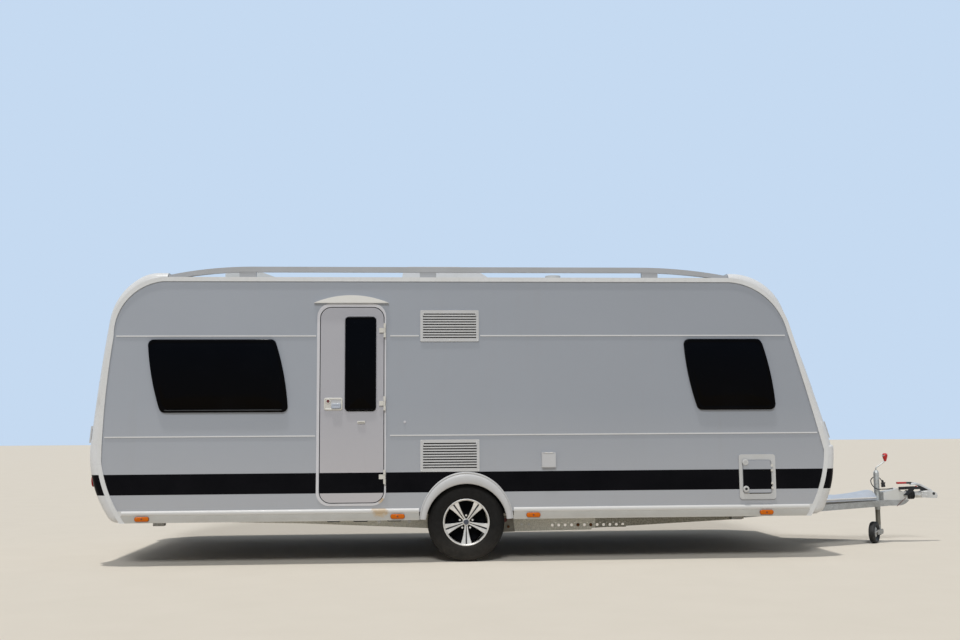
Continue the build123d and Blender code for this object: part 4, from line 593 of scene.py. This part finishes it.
def lean_loop(window, inset, corner):
    """Outline of a leaning window with bowed sides, as (ahead, height) pairs."""
    rear, front, sill, head = window
    middle, half = (rear + front) / 2, (front - rear) / 2
    loop = []
    for x, z in rounded_loop(rear, front, sill, head, corner + inset, inset, 8, 8):
        rise = (z - sill) / (head - sill)
        bow = (x - middle) / half * WINDOW_BOW * (1 - (2 * rise - 1) ** 2)
        loop.append((x - WINDOW_LEAN * rise + bow, z))
    return loop


# Domed pane in its rim, as (inset, lift, corner radius) in mm
WINDOW_LAYERS = (
    (1, -2.5, 50), (1.5, 1, 50), (4, 3.5, 48), (9, 4.8, 45), (14, 4.6, 42), (18, 3.2, 40), (22, 1.2, 38),
    (32, 0.6, 36), (40, 1.4, 36), (52, 4.5, 40), (72, 7.2, 50), (100, 9, 62), (130, 10.2, 75), (165, 11, 90),
)
PANE_FACE = face_of("window_panes")
for (side, tag), windows in zip(SIDES, (WINDOWS, (WINDOWS[0], MIDDLE_WINDOW, WINDOWS[1]))):
    for number, window in enumerate(windows):
        rows = [on_side(side, lean_loop(window, inset, corner), PANE_FACE + lift)
                for inset, lift, corner in metres(WINDOW_LAYERS)]
        form.grid(rows, closed=True)
        form.cap(rows[-1])
        form.finish(f"window_bubble_{tag}_{number + 1}", "acrylic_dark", crease=60)

form.boss(DOOR_WINDOW, DOOR_WINDOW_R, face_of("door_window"), (
    (0.5, -1), (1, 1), (4, 3), (10, 3.5), (14, 2), (20, 0.8), (30, 1), (45, 4), (70, 6.5), (110, 8)), side_steps=8)
form.finish("door_window_bubble", "acrylic_dark", "door", crease=60)

# Seal in the gap round the door leaf
seal = ((-5.8, -12), (-5.4, -3.5), (-4.2, -1.8), (-2.6, -3.5), (-2.2, -12))
form.boss(DOOR, DOOR_R, 0.0, seal, fill=False, steps=10, side_steps=2)
form.finish("door_seal", "door_seal")

# Door handle: plate with a dished middle, a pull over a rest, a lock barrel with its slot
rear, front, low, high = HANDLE
LEAF = face_of("door_leaf")
form.boss(HANDLE, 0.02, LEAF, ((0, 0), (0.4, 5), (2, 7.8), (5, 9), (11, 9), (14, 6.2), (20, 5.2)), steps=6)
form.finish("handle_plate", "cream_plastic", "door", ("door_handle",))
pull = (rear + 0.062, front - 0.014, low + 0.014, low + 0.058)
form.boss(pull, 0.01, LEAF, ((0, 4), (0.5, 18), (4, 21.5), (10, 22.5), (18, 20.5)), steps=5)
rest = (rear + 0.058, front - 0.012, low + 0.062, high - 0.014)
form.boss(rest, 0.01, LEAF, ((0, 4), (1, 7.2), (4, 6.8), (9, 5.8)), mark=1, steps=5)
form.finish("handle_pull", ("grip_plastic", "plastic_silver"), "door")
lock = Vector((ahead(rear + 0.036), -(WALL_Y + LEAF), high - 0.03))
form.lathe(lock, OUTWARD, ((4, 21), (10.5, 21), (12.5, 19), (12.5, 13.5), (10.8, 12.5)), 28)
form.lathe(lock, OUTWARD, ((10.8, 12.5), (12.2, 11.5), (12.2, 0.1)), 28, 1)
key_slot = panel(lock.x - 0.0012, lock.x + 0.0012, lock.y - 0.0123, lock.z - 0.006, lock.z + 0.006)
form.prism(key_slot, OUTWARD * 0.0006, mark=2)
form.finish("handle_lock", ("cream_plastic", "red_dark", "plastic_black"), "door")

# Hold-back bar below the handle, and the pressed bead round the door window
form.boss(CATCH_BAR, 0.007, LEAF, ((0, -2), (0.3, 9), (2, 11.5), (6, 12.5), (9, 12.8)), steps=5)
form.finish("catch_bar", "cream_plastic", "door")
bead = ((-14, -1), (-13, 1.6), (-9, 2.6), (-4, 2.2), (-1, 0))
form.boss(DOOR_WINDOW, DOOR_WINDOW_R, LEAF, bead, fill=False, side_steps=2)
form.finish("door_window_bead", "door_silver", "door")

# Fridge vents: two latches under the top edge and six screws
VENT_FACE = face_of("fridge_vents")
for number, (rear, front, low, high) in enumerate(VENTS):
    for x in (rear + 0.018, front - 0.03):
        latch = (x, x + 0.012, high - 0.048, high - 0.02)
        form.boss(latch, 0.005, VENT_FACE, ((0, -1), (0.5, 3), (2, 4.5)), steps=4)
    form.finish(f"vent_latches_{number + 1}", "vent_plastic")
    for x in (rear + 0.01, (rear + front) / 2, front - 0.01):
        for z in (low + 0.009, high - 0.009):
            screw = (ahead(x), -(WALL_Y + VENT_FACE), z)
            form.lathe(screw, OUTWARD, ((-1, 4.2), (0.8, 4.2), (1.6, 3), (1.7, 0.1)), 14)
    form.finish(f"vent_screws_{number + 1}", "bright_metal")

# Service hatch: flap face over a dark seam, a joint that is also a painted shadow round the flap, and two lugs,
# the lower with its key slot
RING = face_of("hatch_frames")
FLAP_LIFT = max(face_of("service_flap"), RING) + 0.0022
FLAP_R = 0.014
# Dark seam: a joint line that is also a painted shadow round the flap.
form.boss(FLAP_FACE, FLAP_R, RING, ((-2.2, 0.4), (-2, 1), (0, 1)), mark=1, fill=False)
flap_mm = 1000 * (FLAP_LIFT - RING)
form.boss(FLAP_FACE, FLAP_R, RING, ((0, 0.4), (0.4, flap_mm - 0.4), (1.2, flap_mm)))
form.finish("flap_face", ("wall_silver", "door_seal"), "service_hatch")
for name, z, key_mark in (("upper", 0.806, 0), ("lower", 0.582, 1)):
    centre = Vector((ahead(FLAP_FACE[0] + 0.019), -(WALL_Y + FLAP_LIFT), z))
    form.lathe(centre, OUTWARD, ((-2, 26.5), (6, 26), (8.5, 24), (9.5, 19), (9.5, 12.5), (7.2, 11.5)), 36)
    form.lathe(centre, OUTWARD, ((7.2, 11.5), (7.8, 10), (7.8, 0.1)), 36, key_mark)
    form.finish(f"hatch_lug_{name}", ("hatch_plastic", "plastic_black"), "service_hatch")

# Markers: clear lens on a dark base, with a centre pip
MARKER_FACE = face_of("side_markers")
for side, tag in SIDES:
    for number, x in enumerate(MARKERS):
        base = (x - 0.06, x + 0.06, MARKER_Z - 0.0205, MARKER_Z + 0.0205)
        form.boss(base, 0.0195, MARKER_FACE, ((0, -11), (0.4, -4), (2, -3)), side, 1, steps=7)
        glass = (x - 0.058, x + 0.058, MARKER_Z - 0.019, MARKER_Z + 0.019)
        form.boss(glass, 0.018, MARKER_FACE, ((0, -4), (0.8, 0), (4, 2), (9, 2.7), (14, 3)), side, steps=7)
        middle = (ahead(x), side * (WALL_Y + MARKER_FACE + 0.003), MARKER_Z)
        form.lathe(middle, (0, side, 0), ((-1, 8), (0.6, 7), (0.8, 0.1)), 16, 2)
        stands_for = ("side_markers",) if side < 0 and number == 0 else ()
        looks = ("lamp_amber", "lamp_base", "red_dark")
        form.finish(f"marker_lens_{tag}_{number + 1}", looks, stands_for=stands_for)


# Road wheels

# Half a tyre's section from the bead to the middle of the tread, as (width, radius) in mm
TYRE_HALF = (
    (83.5, 189), (86, 193), (87.2, 196.5), (90, 203), (93, 211), (93.5, 212.5), (94.5, 213), (96.2, 226),
    (97.2, 240), (97.5, 252), (97.2, 264), (95.8, 278), (94, 288), (94.3, 288.5), (94.3, 291), (92.5, 292.5),
    (89.5, 303), (85.5, 312), (80, 317.5), (74, 320.8), (66, 322.5), (60, 323.2), (59.2, 316.5), (50.8, 316.5),
    (50, 324), (40, 324.6), (27.5, 324.9), (26.7, 317), (18.3, 317), (17.5, 325), (0, 325),
)
TYRE_STEPS = 144
SIPE_DEPTH = 0.0035


def build_tyre(side, tag):
    """Tyre with rim guard, sidewall lines, shoulder sipes and four grooves."""
    half = metres(TYRE_HALF)
    rows = []
    for across, radius in half + [(-across, radius) for across, radius in reversed(half[:-1])]:
        y = side * (WHEEL_Y + across)
        shoulder = 0.06 < abs(abs(y) - WHEEL_Y) < 0.088 and radius > 0.305
        ring = []
        for step in range(TYRE_STEPS):
            turn = 2 * pi * step / TYRE_STEPS
            r = radius - SIPE_DEPTH if shoulder and step % 3 == 0 else radius
            ring.append(Vector((AXLE.x + r * cos(turn), y, AXLE.z + r * sin(turn))))
        rows.append(ring)
    form.grid(rows, closed=True, flip=side < 0)
    form.finish(f"tyre_skin_{tag}", "tyre_rubber", f"wheel_{tag}", (f"tyre_{tag}",), crease=40)


SPOKES = 5
SPOKE_TURN = -90
# Half of a double spoke as (radius, inner edge, outer edge, face) in mm
SPOKE_ROWS = (
    (27, 2, 13, 61), (60, 3, 16.5, 64), (100, 4.5, 24.5, 69.5), (140, 5.8, 34.5, 75), (168, 6.2, 43, 78.5),
    (187, 5.8, 50, 80),
)
SPOKE_EDGE = 0.0028
# Turned parts of a rim as (mark, steps, profile) in mm: lip, barrel, hub, cap ring, cap and drum
RIM_TURNED = (
    ([1] * 6 + [0] * 6, 96, (
        (-86, 201), (-88.5, 199), (-88.5, 193), (-84, 189), (-50, 181), (40, 177), (70, 178.5), (83, 182.5),
        (87.5, 186.5), (89.3, 189.5), (89.3, 193), (88, 195.5), (84.5, 196))),
    (1, 96, ((84.5, 196), (70, 193), (-70, 193), (-86, 201))),
    (1, 64, ((-60, 0.1), (-60, 72), (46, 74), (52, 70), (53, 60), (50, 45), (50, 33))),
    (0, 40, ((50, 33), (62, 27.5), (66.5, 25.5), (68, 22.5))),
    (3, 40, ((68, 22.5), (66.8, 20.5), (67.2, 11), (69, 10), (69.5, 0.1))),
    (1, 64, ((-25, 70), (-25, 170), (-35, 176))),
)


def build_rim(side, tag):
    """Alloy rim: lip, double spokes, barrel, hub, bolts, cap and valve."""
    way = (0, side, 0)

    def point(angle, radius, across, width):
        """Point along a spoke, beside it, and out from the wheel's middle."""
        x = radius * cos(angle) - across * sin(angle)
        z = radius * sin(angle) + across * cos(angle)
        return Vector((AXLE.x + x, side * (WHEEL_Y + width), AXLE.z + z))

    for marks, steps, profile in RIM_TURNED:
        form.lathe((AXLE.x, side * WHEEL_Y, AXLE.z), way, profile, steps, marks)
    for number in range(SPOKES):
        angle = radians(SPOKE_TURN + 360 / SPOKES * number)
        for hand in (-1, 1):
            rows = []
            for radius, inner, outer, face in metres(SPOKE_ROWS):
                low, high = sorted((hand * inner, hand * outer))
                back, edge = face - 0.026, face - SPOKE_EDGE
                rows.append([point(angle, radius, across, width) for across, width in (
                    (low + 0.001, back), (low, edge), (low + SPOKE_EDGE, face),
                    (high - SPOKE_EDGE, face), (high, edge), (high - 0.001, back))])
            strips = list(zip(*rows))
            for place, mark in ((0, 2), (1, 0), (2, 0), (3, 0), (4, 2), (5, 1)):
                form.grid([strips[place], strips[(place + 1) % 6]], mark=mark, flip=side > 0)
        form.grid([[point(angle, radius, hand * 0.012, face - 0.018) for hand in (-1, 1)]
                   for radius, _, _, face in metres(SPOKE_ROWS)], mark=2, flip=side > 0)
        bolt = point(radians(90 + 360 / SPOKES * number), 0.056, 0, 0)
        form.lathe(bolt, way, ((49, 16.5), (51.5, 16), (51.5, 12.5)), 24, 1)
        form.lathe(bolt, way, ((48, 9.8), (60, 9.8), (63, 8), (63.5, 0.1)), 6)
    stem = point(radians(SPOKE_TURN + 36), 0.178, 0, 0.07)
    form.rod([stem + Vector((0, side * out, 0)) for out in (0, 0.012, 0.024)], [0.006, 0.0048, 0.004], mark=4)
    looks = ("alloy", "alloy_dark", "alloy_side", "alloy_cap", "rubber_black")
    form.finish(f"rim_face_{tag}", looks, f"wheel_{tag}", (f"rim_{tag}",), crease=32)


for side, tag in SIDES:
    build_tyre(side, tag)
    build_rim(side, tag)


# Wheel arches and chassis

# Arch: half length and rise of its outer and inner edges, and the height of its feet
ARCH_OUTER = (0.396, 0.423)
ARCH_INNER = (0.338, 0.322)
ARCH_FOOT = 0.356
ARCH_STEPS = 96
# Section as (share of the way inward, height above the wall in mm)
ARCH_SECTION = (
    (0.0, 0.8), (0.01, 6), (0.04, 9.5), (0.1, 11.2), (0.15, 10), (0.17, 7), (0.19, 7), (0.22, 12), (0.3, 15.5),
    (0.45, 18), (0.62, 19), (0.8, 17.8), (0.92, 14), (0.98, 9), (1.0, 3), (1.0, -12),
)


def arch_point(share, across):
    """Place on an arch as (ahead, height): share runs along it and across runs inward."""
    places = []
    for run, rise in (ARCH_OUTER, ARCH_INNER):
        foot = atan2(ARCH_FOOT - TYRE_R, run)
        turn = foot + share * (pi - 2 * foot)
        places.append((run * cos(turn), TYRE_R + rise * sin(turn)))
    return tuple(a + across * (b - a) for a, b in zip(*places))


for side, tag in SIDES:
    rows = []
    for across, lift in ARCH_SECTION:
        line = [arch_point(step / ARCH_STEPS, across) for step in range(ARCH_STEPS + 1)]
        rows.append([Vector((ahead(x), side * (WALL_Y + lift / 1000), z)) for x, z in line])
    form.grid(rows, flip=side > 0)
    for end in (0, -1):
        foot = [row[end] for row in rows]
        form.cap(foot + [Vector((place.x, side * WALL_Y, place.z)) for place in (foot[-1], foot[0])])
    form.finish(f"arch_skin_{tag}", "arch_plastic", stands_for=("wheel_arches",) if side < 0 else (), crease=50)

_, MEMBER_WEB, MEMBER_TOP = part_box("chassis_members")[1]
MEMBER_T = 0.004
MEMBER_FLANGE = 0.052
# Lower edge as (ahead, height), with the step where the front extension starts
MEMBER_STEP = (1.114, 1.122)
MEMBER_FOOT = (
    (-2.35, 0.33), (-1.43, 0.306), (-0.909, 0.281), (-0.301, 0.25), (0.33, 0.214), (MEMBER_STEP[0], 0.222),
    (MEMBER_STEP[1], 0.236), (2.48, 0.3),
)
CROSS_TUBES = (-2.2, -1.25, 1.5, 2.44)
HOLE_Z = 0.264
HOLE_R = 0.0125
HOLE_BAND = 0.022
BAND_LOW, BAND_HIGH = HOLE_Z - HOLE_BAND, HOLE_Z + HOLE_BAND
HOLE_STEPS = 24
HOLES = tuple(0.772 + 0.0567 * number for number in range(12))
PLUGGED = (4, 6)
# Bolts as (ahead, height, radius), and pockets as (start, end)
BOLTS = ((-0.74, 0.313, 13), (-0.479, 0.31, 13), (0.503, 0.274, 7), (0.566, 0.273, 7), (-0.61, 0.29, 5))
POCKETS = ((-1.203, -1.065), (-0.978, -0.822), (-0.684, -0.536))


def member_foot(x):
    """Height of a member's lower edge."""
    for (x0, z0), (x1, z1) in zip(MEMBER_FOOT, MEMBER_FOOT[1:]):
        if x <= x1:
            return z0 + (z1 - z0) * (x - x0) / (x1 - x0)
    return MEMBER_FOOT[-1][1]


def build_member(side, tag):
    """Channel member with its holes, flanges, bolts, plugs and pockets."""
    out = (0, side, 0)
    cell = 0.5 * (HOLES[1] - HOLES[0])
    first, last = HOLES[0] - cell, HOLES[-1] + cell
    feet = [x for x, _ in MEMBER_FOOT]

    def web(x, z, depth=0.0):
        return Vector((ahead(x), side * (MEMBER_WEB - depth), z))

    def strip(stations, low, high, depth=0.0, flip=side > 0):
        """Part of the web between two edges, as heights or as functions."""
        form.grid([[web(x, edge(x) if callable(edge) else edge, depth) for x in stations]
                   for edge in (low, high)], flip=flip)

    every = sorted(feet + [first, last])
    ends = [x for x in every if x <= first], [x for x in every if x >= last]
    for stations in ends:
        strip(stations, member_foot, MEMBER_TOP)
    stations = sorted([first, last, *MEMBER_STEP] + [x + cell for x in HOLES[:-1]])
    strip(stations, lambda x: min(member_foot(x), BAND_LOW), BAND_LOW)
    strip(stations, BAND_HIGH, MEMBER_TOP)
    for x in HOLES:
        rows = [], [], []
        for step in range(HOLE_STEPS):
            turn = 2 * pi * step / HOLE_STEPS
            c, s = cos(turn), sin(turn)
            reach = 1 / max(abs(c) / cell, abs(s) / HOLE_BAND)
            for row, r, depth in zip(rows, (reach, HOLE_R, HOLE_R), (0, 0, MEMBER_T)):
                row.append(web(x + r * c, HOLE_Z + r * s, depth))
        form.grid(rows, closed=True, flip=side > 0)
    for edge, lift in (([z for _, z in MEMBER_FOOT], MEMBER_T), ([MEMBER_TOP] * len(feet), -MEMBER_T)):
        rows = [[web(x, z + rise, depth) for x, z in zip(feet, edge)] for rise, depth in (
            (0, 0), (0, MEMBER_FLANGE), (lift, MEMBER_FLANGE), (lift, MEMBER_T))]
        form.grid(rows, flip=(side < 0) == (lift > 0))
    for stations in ends:
        strip(stations, member_foot, MEMBER_TOP, MEMBER_T, False)
    between = [x for x in every if first <= x <= last]
    strip(between, member_foot, BAND_LOW, MEMBER_T, False)
    strip(between, BAND_HIGH, MEMBER_TOP, MEMBER_T, False)
    form.finish(f"member_skin_{tag}", "member_zinc", stands_for=("chassis_members",) if side < 0 else ())

    for x, z, r in BOLTS:
        form.lathe(web(x, z), out, ((-2, r * 1.25), (1.5, r * 1.25), (1.8, r * 0.9)), 24)
        form.lathe(web(x, z), out, ((1.8, r * 0.9), (7.5, r * 0.9), (9, r * 0.75), (9.2, 0.1)), 6)
    form.finish(f"member_bolts_{tag}", "bright_metal")
    for number in PLUGGED:
        form.lathe(web(HOLES[number], HOLE_Z), out, ((-3, 13.5), (1.5, 15), (3, 12), (3.2, 0.1)), 18)
    form.finish(f"member_plugs_{tag}", "rusty_steel")
    # Pockets at the lightening holes: a black lip as painted shadow round a pale plate for the pressed flange.
    for start, end in POCKETS:
        lip = [(start, 0.345), (end, 0.345), (end - 0.008, 0.322), (end - 0.024, 0.312),
               (start + 0.024, 0.312), (start + 0.008, 0.322)]
        pad = [(start + 0.012, 0.345), (end - 0.012, 0.345), (end - 0.026, 0.32), (start + 0.026, 0.32)]
        form.prism([web(x, z) for x, z in lip], (0, side * 0.0025, 0))
        form.prism([web(x, z, -0.0025) for x, z in pad], (0, side * 0.001, 0), mark=1)
    form.finish(f"member_pockets_{tag}", ("plastic_black", "bright_metal"))
    plate = [(0.33, 0.35), (0.425, 0.35), (0.442, 0.214), (0.33, 0.21)]
    form.prism([web(x, z) for x, z in plate], (0, side * 0.004, 0))
    form.lathe(web(0.385, 0.256, -0.004), out, ((0, 13), (6, 12), (6.2, 0.1)), 18, 2)
    form.lathe(web(0.357, 0.313, -0.004), out, ((0, 18), (10, 16), (10.2, 0.1)), 18, 1)
    form.finish(f"axle_plate_{tag}", ("leg_zinc", "red_dark", "rusty_steel"))


for side, tag in SIDES:
    build_member(side, tag)
inside = MEMBER_WEB - 0.0035
for x in CROSS_TUBES:
    form.prism(panel(ahead(x) - 0.02, ahead(x) + 0.02, -inside, 0.334, MEMBER_TOP - 0.004), (0, 2 * inside, 0))
form.finish("cross_tubes_skin", "member_zinc")


# Hitch

# Bellows, with three folds, as (ahead, radius) in mm
folds = [(4346, 41), (4352, 43)]
for start in (4356, 4375.5, 4395):
    folds += [(start, 43.5), (start + 4, 44), (start + 9, 40.5), (start + 11.5, 35.5), (start + 15, 40.5)]
folds += [(4416, 43), (4421, 41.5), (4423, 30)]
form.lathe(hitch(0, 0, HITCH_Z), (1, 0, 0), folds, 40)
form.finish("bellows_skin", "rubber_black", stands_for=("overrun_bellows",), crease=60)

# Drawbar cover: domed top as (ahead, half width, rise) in mm, between bright side rails
COVER_ROWS = metres((
    (3225, 487, 0), (3420, 395, 0), (3580, 319, 1), (3700, 262, 8), (3800, 215, 24),
    (3880, 176, 40), (3940, 148, 53), (3970, 133, 56), (3995, 121, 50), (4008, 115, 36),
))
for side, _ in SIDES:
    form.rod([hitch(along, side * (half + 0.0005), 0.43) for along, half, _ in COVER_ROWS[:-1]], 0.0075, 12)
form.finish("cover_rails", "trim_white")
rows = []
for along, half, rise in COVER_ROWS:
    flank = [
        (half - 0.01, 0.406), (half - 0.001, 0.407), (half, 0.415), (half, 0.437), (half - 0.003, 0.4405),
        (half - 0.012, 0.4415), (half - 0.022, 0.44), (half * 0.8, 0.4405 + rise * 0.18),
        (half * 0.62, 0.4405 + rise * 0.62), (half * 0.42, 0.441 + rise * 0.93), (half * 0.2, 0.4415 + rise),
    ]
    rows.append([hitch(along, y, z) for y, z in mirrored(flank, (0.0, 0.4418 + rise * 1.02))])
form.tube(rows, closed=False, flip=True)
# Cover skin in grey-white tinted blue, a painted sky reflection
form.finish("cover_skin", "cover_blue", stands_for=("drawbar_cover",), crease=30)

# Silver shell over the stabiliser lever's back, as (ahead, top, half width) in mm
SHELL = metres((
    (4395, 564, 16), (4425, 566.5, 21.5), (4455, 563, 25), (4485, 554, 27.5),
    (4515, 540, 29), (4545, 524, 29.5), (4575, 508, 29), (4600, 496, 27),
))
rows = []
for along, top, half in SHELL:
    flank = [(half, top - 0.022), (half, top - 0.009), (half * 0.82, top - 0.002), (half * 0.45, top)]
    rows.append([hitch(along, y, z) for y, z in mirrored(flank, (0.0, top + 0.0006))])
form.tube(rows, closed=False, flip=True)
form.finish("stabiliser_shell", "bright_metal", crease=30)

# Round indicator and rivets on the ball head
HEAD_HALF = -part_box("coupling_head")[0].y
for side, _ in SIDES:
    way = (0, side, 0)
    dial = hitch(4.612, side * (HEAD_HALF - 0.0006), 0.458)
    form.lathe(dial, way, ((-4, 13.5), (2, 13.5), (3.5, 12), (3.6, 0.1)), 28)
    for x, z in ((4.5, 0.455), (4.535, 0.442)):
        form.lathe(hitch(x, side * 0.034, z), way, ((-3, 8.5), (4, 8.5), (6, 6), (6.2, 0.1)), 18, 1)
form.finish("head_details", ("plastic_black", "bright_metal"))


def sleeve(start, end, half_y, half_z, mark):
    """Soft-cornered sleeve along a line in the hitch's middle plane."""
    way = (end - start).normalized()
    up = Vector((-way.z, 0, way.x))
    rows = []
    for origin, size in (
        (start, 0.8), (start + way * 0.004, 0.97), (start + way * 0.01, 1.0),
        (end - way * 0.01, 1.0), (end - way * 0.004, 0.97), (end, 0.8),
    ):
        ring = []
        for step in range(28):
            turn = 2 * pi * step / 28
            y, z = (abs(part) ** 0.35 * (1 if part >= 0 else -1) for part in (cos(turn), sin(turn)))
            ring.append(origin + Vector((0, half_y * size * y, 0)) + up * (half_z * size * z))
        rows.append(ring)
    form.tube(rows, mark)


# Grip and sleeve of the stabiliser lever, release of the brake lever
sleeve(*hitch_line((4262, 0, 561.5), (4352, 0, 562.5)), 0.0185, 0.0095, 0)
sleeve(*hitch_line((4350, 0, 562.5), (4404, 0, 563)), 0.0175, 0.0085, 1)
form.finish("stabiliser_grip", ("red_plastic", "plastic_black"))
form.rod(hitch_line((4396, -18, 507), (4420, -18, 520), (4445, -18, 527)), 0.006, 12)
form.rod(hitch_line((4445, -18, 527), (4452, -18, 528)), 0.008, 12)
form.finish("brake_release", "red_plastic")

# Rusty breakaway cable ends under the housing
for shift in (-0.018, 0.012):
    form.rod([hitch(x, shift + y, z) for x, y, z in metres((
        (4120, 0, 398), (4150, -12, 378), (4178, -6, 372), (4200, 0, 392), (4232, 6, 412),
        (4262, 0, 404)))], 0.003, 8)
form.rod(hitch_line((4236, -20, 402), (4262, -24, 382), (4300, -18, 376), (4318, -10, 398)), 0.0034, 8)
form.finish("breakaway_ends", "rusty_steel")

# Crank knob
knob_foot = hitch(4.156, 0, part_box("jockey_tube")[1].z - 0.0782)
form.lathe(knob_foot, (0, 0, 1), (
    (-1, 7.5), (4, 11.5), (14, 14.5), (28, 19), (42, 22.8), (54, 24.8), (63, 24.5), (70, 21.5), (75, 16),
    (78, 8.5), (78.8, 0.1)), 36)
form.finish("crank_knob", "red_plastic", crease=70)

# Plug parked beside the jockey tube
plug = hitch(4.106, -0.04, 0.56)
form.lathe(plug, (0.12, 0, -1), (
    (-34, 6), (-32, 8.5), (-12, 11.5), (-10, 17), (2, 18.5), (4, 17), (12, 17), (14, 19), (30, 19.5), (34, 18),
    (34.5, 0.1)), 28)
form.rod([plug + Vector((0.018, 0, -0.006)), plug + Vector((0.023, 0, 0.012))], 0.003, 8)
plug_piece = form.finish("lead_plug", "rubber_black")

# Trailer lead and breakaway wire, on the routes of the CAD's cords
lead = smooth_route(hitch_line(
    (4215, -12, 512), (4160, -34, 507), (4100, -46, 506), (4043, -42, 508), (4008, -22, 545), (4018, 30, 592),
    (4066, 36, 626), (4096, -4, 606), (4106, -40, 560)))
wire = hitch_line((4318, -72, 428), (4223, -68, 341))
for name, route, radius, look, far_end, lay, with_pieces in (
    ("trailer_lead", lead, 0.0045, "rubber_black", "plug", "loose", [plug_piece]),
    ("breakaway_wire", wire, 0.002, "wire_red", "object", "taut", []),
):
    form.rod(route, radius, 12)
    cord = form.finish(name, look, stands_for=("hitch_cables",))

# Jockey wheel: rubber tread round a grey hub, half as (width, radius) in mm
TREAD_HALF = [
    (-18, 10), (-18, 40), (-12, 50), (-20, 60), (-27.5, 72), (-29, 84), (-27, 94), (-20, 99.5), (-10, 101.6),
    (0, 101.9),
]
spin = JOINTS["jockey_wheel_spin"]
tread = TREAD_HALF + [(-along, radius) for along, radius in reversed(TREAD_HALF[:-1])]
form.lathe(spin["pos_m"], spin["axis"], tread, 48, [1, 1] + [0] * (len(tread) - 5) + [1, 1])
for hand in (-1, 1):
    form.lathe(spin["pos_m"], Vector(spin["axis"]) * hand, ((18, 12), (26, 11.5), (27, 9), (27.2, 0.1)), 20, 2)
form.finish("jockey_tread", ("rubber_black", "plastic_grey", "bright_metal"), "jockey_roller", ("jockey_wheel",))


# Roof and rear

unit_low, unit_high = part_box("air_conditioner")
for number in range(9):
    x = unit_low.x + 0.16 + number * 0.018
    for side, _ in SIDES:
        form.prism(panel(x, x + 0.008, side * (unit_high.y - 0.004), 2.5, 2.56), (0, side * 0.003, 0))
form.finish("unit_louvres", "plastic_grey")

lamp_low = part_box("rear_lamps")[0]
for side, _ in SIDES:
    for z, r, mark in ((0.7, 58, 0), (0.8, 50, 1), (0.895, 50, 2)):
        place = (lamp_low.x + 0.0015, side * (abs(lamp_low.y) - 0.095), z)
        profile = ((-10, r), (1.5, r), (3, r * 0.93), (1.5, r * 0.86), (2, r * 0.4), (2.2, 0.1))
        form.lathe(place, (-1, 0, 0), profile, 40, mark)
form.finish("lamp_rings", ("lamp_red", "lamp_amber", "plastic_silver"), crease=50)


# Stage, light and camera


# Pale plain floor with a little tooth, wide enough to reach the horizon
bpy.ops.mesh.primitive_plane_add(size=240, location=(0, 60, -0.0005))
floor = bpy.context.object
floor.name = "studio_floor"
shade = Shade("studio_floor", (0.7, 0.65, 0.57), 0.8, specular=0.2)
base = shade.mix(shade.noise(2, 6), (0.665, 0.615, 0.535), (0.715, 0.665, 0.585))
floor.data.materials.append(shade.done(base, 0.8, (0.1, 0.002, 60, 4)))

# Pale sky light, with a bluer backdrop for camera, glossy and clear rays
world = bpy.data.worlds.new("studio")
bpy.context.scene.world = world
world.use_nodes = True
tree = world.node_tree
tree.nodes.clear()


def sky_node(kind, *wired):
    """Node with outputs wired to its first sockets."""
    node = tree.nodes.new("ShaderNode" + kind)
    for socket, output in zip(node.inputs, wired):
        tree.links.new(output, socket)
    return node


rays = sky_node("LightPath").outputs
seen = rays["Is Camera Ray"]
for kind in ("Glossy", "Transmission"):
    either = sky_node("Math", seen, rays[f"Is {kind} Ray"])
    either.operation = "MAXIMUM"
    seen = either.outputs["Value"]
shown = []
for color, strength in (((0.93, 0.96, 1.0, 1), 0.2), ((0.56, 0.7, 0.88, 1), 1.0)):
    sky = sky_node("Background")
    sky.inputs["Color"].default_value = color
    sky.inputs["Strength"].default_value = strength
    shown.append(sky.outputs["Background"])
sky_node("OutputWorld", sky_node("MixShader", seen, *shown).outputs["Shader"])


def add_sun(name, direction, energy, spread, color):
    """Far lamp that shines along a direction."""
    data = bpy.data.lights.new(name, "SUN")
    data.energy = energy
    data.angle = radians(spread)
    data.color = color
    linked(name, data).rotation_euler = Vector(direction).to_track_quat("-Z", "Y").to_euler()


add_sun("high_sun", (0.1, 0.14, -1.0), 1.82, 3, (1.0, 0.97, 0.92))
add_sun("front_sky", (0.15, 1.0, -0.84), 1.3, 16, (0.97, 0.985, 1.0))

# Camera of the photo
data = bpy.data.cameras.new("camera")
data.lens = LENS
data.sensor_width = 36.0
data.clip_end = 1000.0
camera = linked("camera", data)
pose = Matrix.Translation(CAMERA_PLACE)
for angle, axis in ((YAW, "Z"), (pi / 2 + PITCH, "X"), (ROLL, "Z")):
    pose = pose @ Matrix.Rotation(angle, 4, axis)
camera.matrix_world = pose
bpy.context.scene.camera = camera
bpy.context.scene.view_settings.view_transform = "Standard"
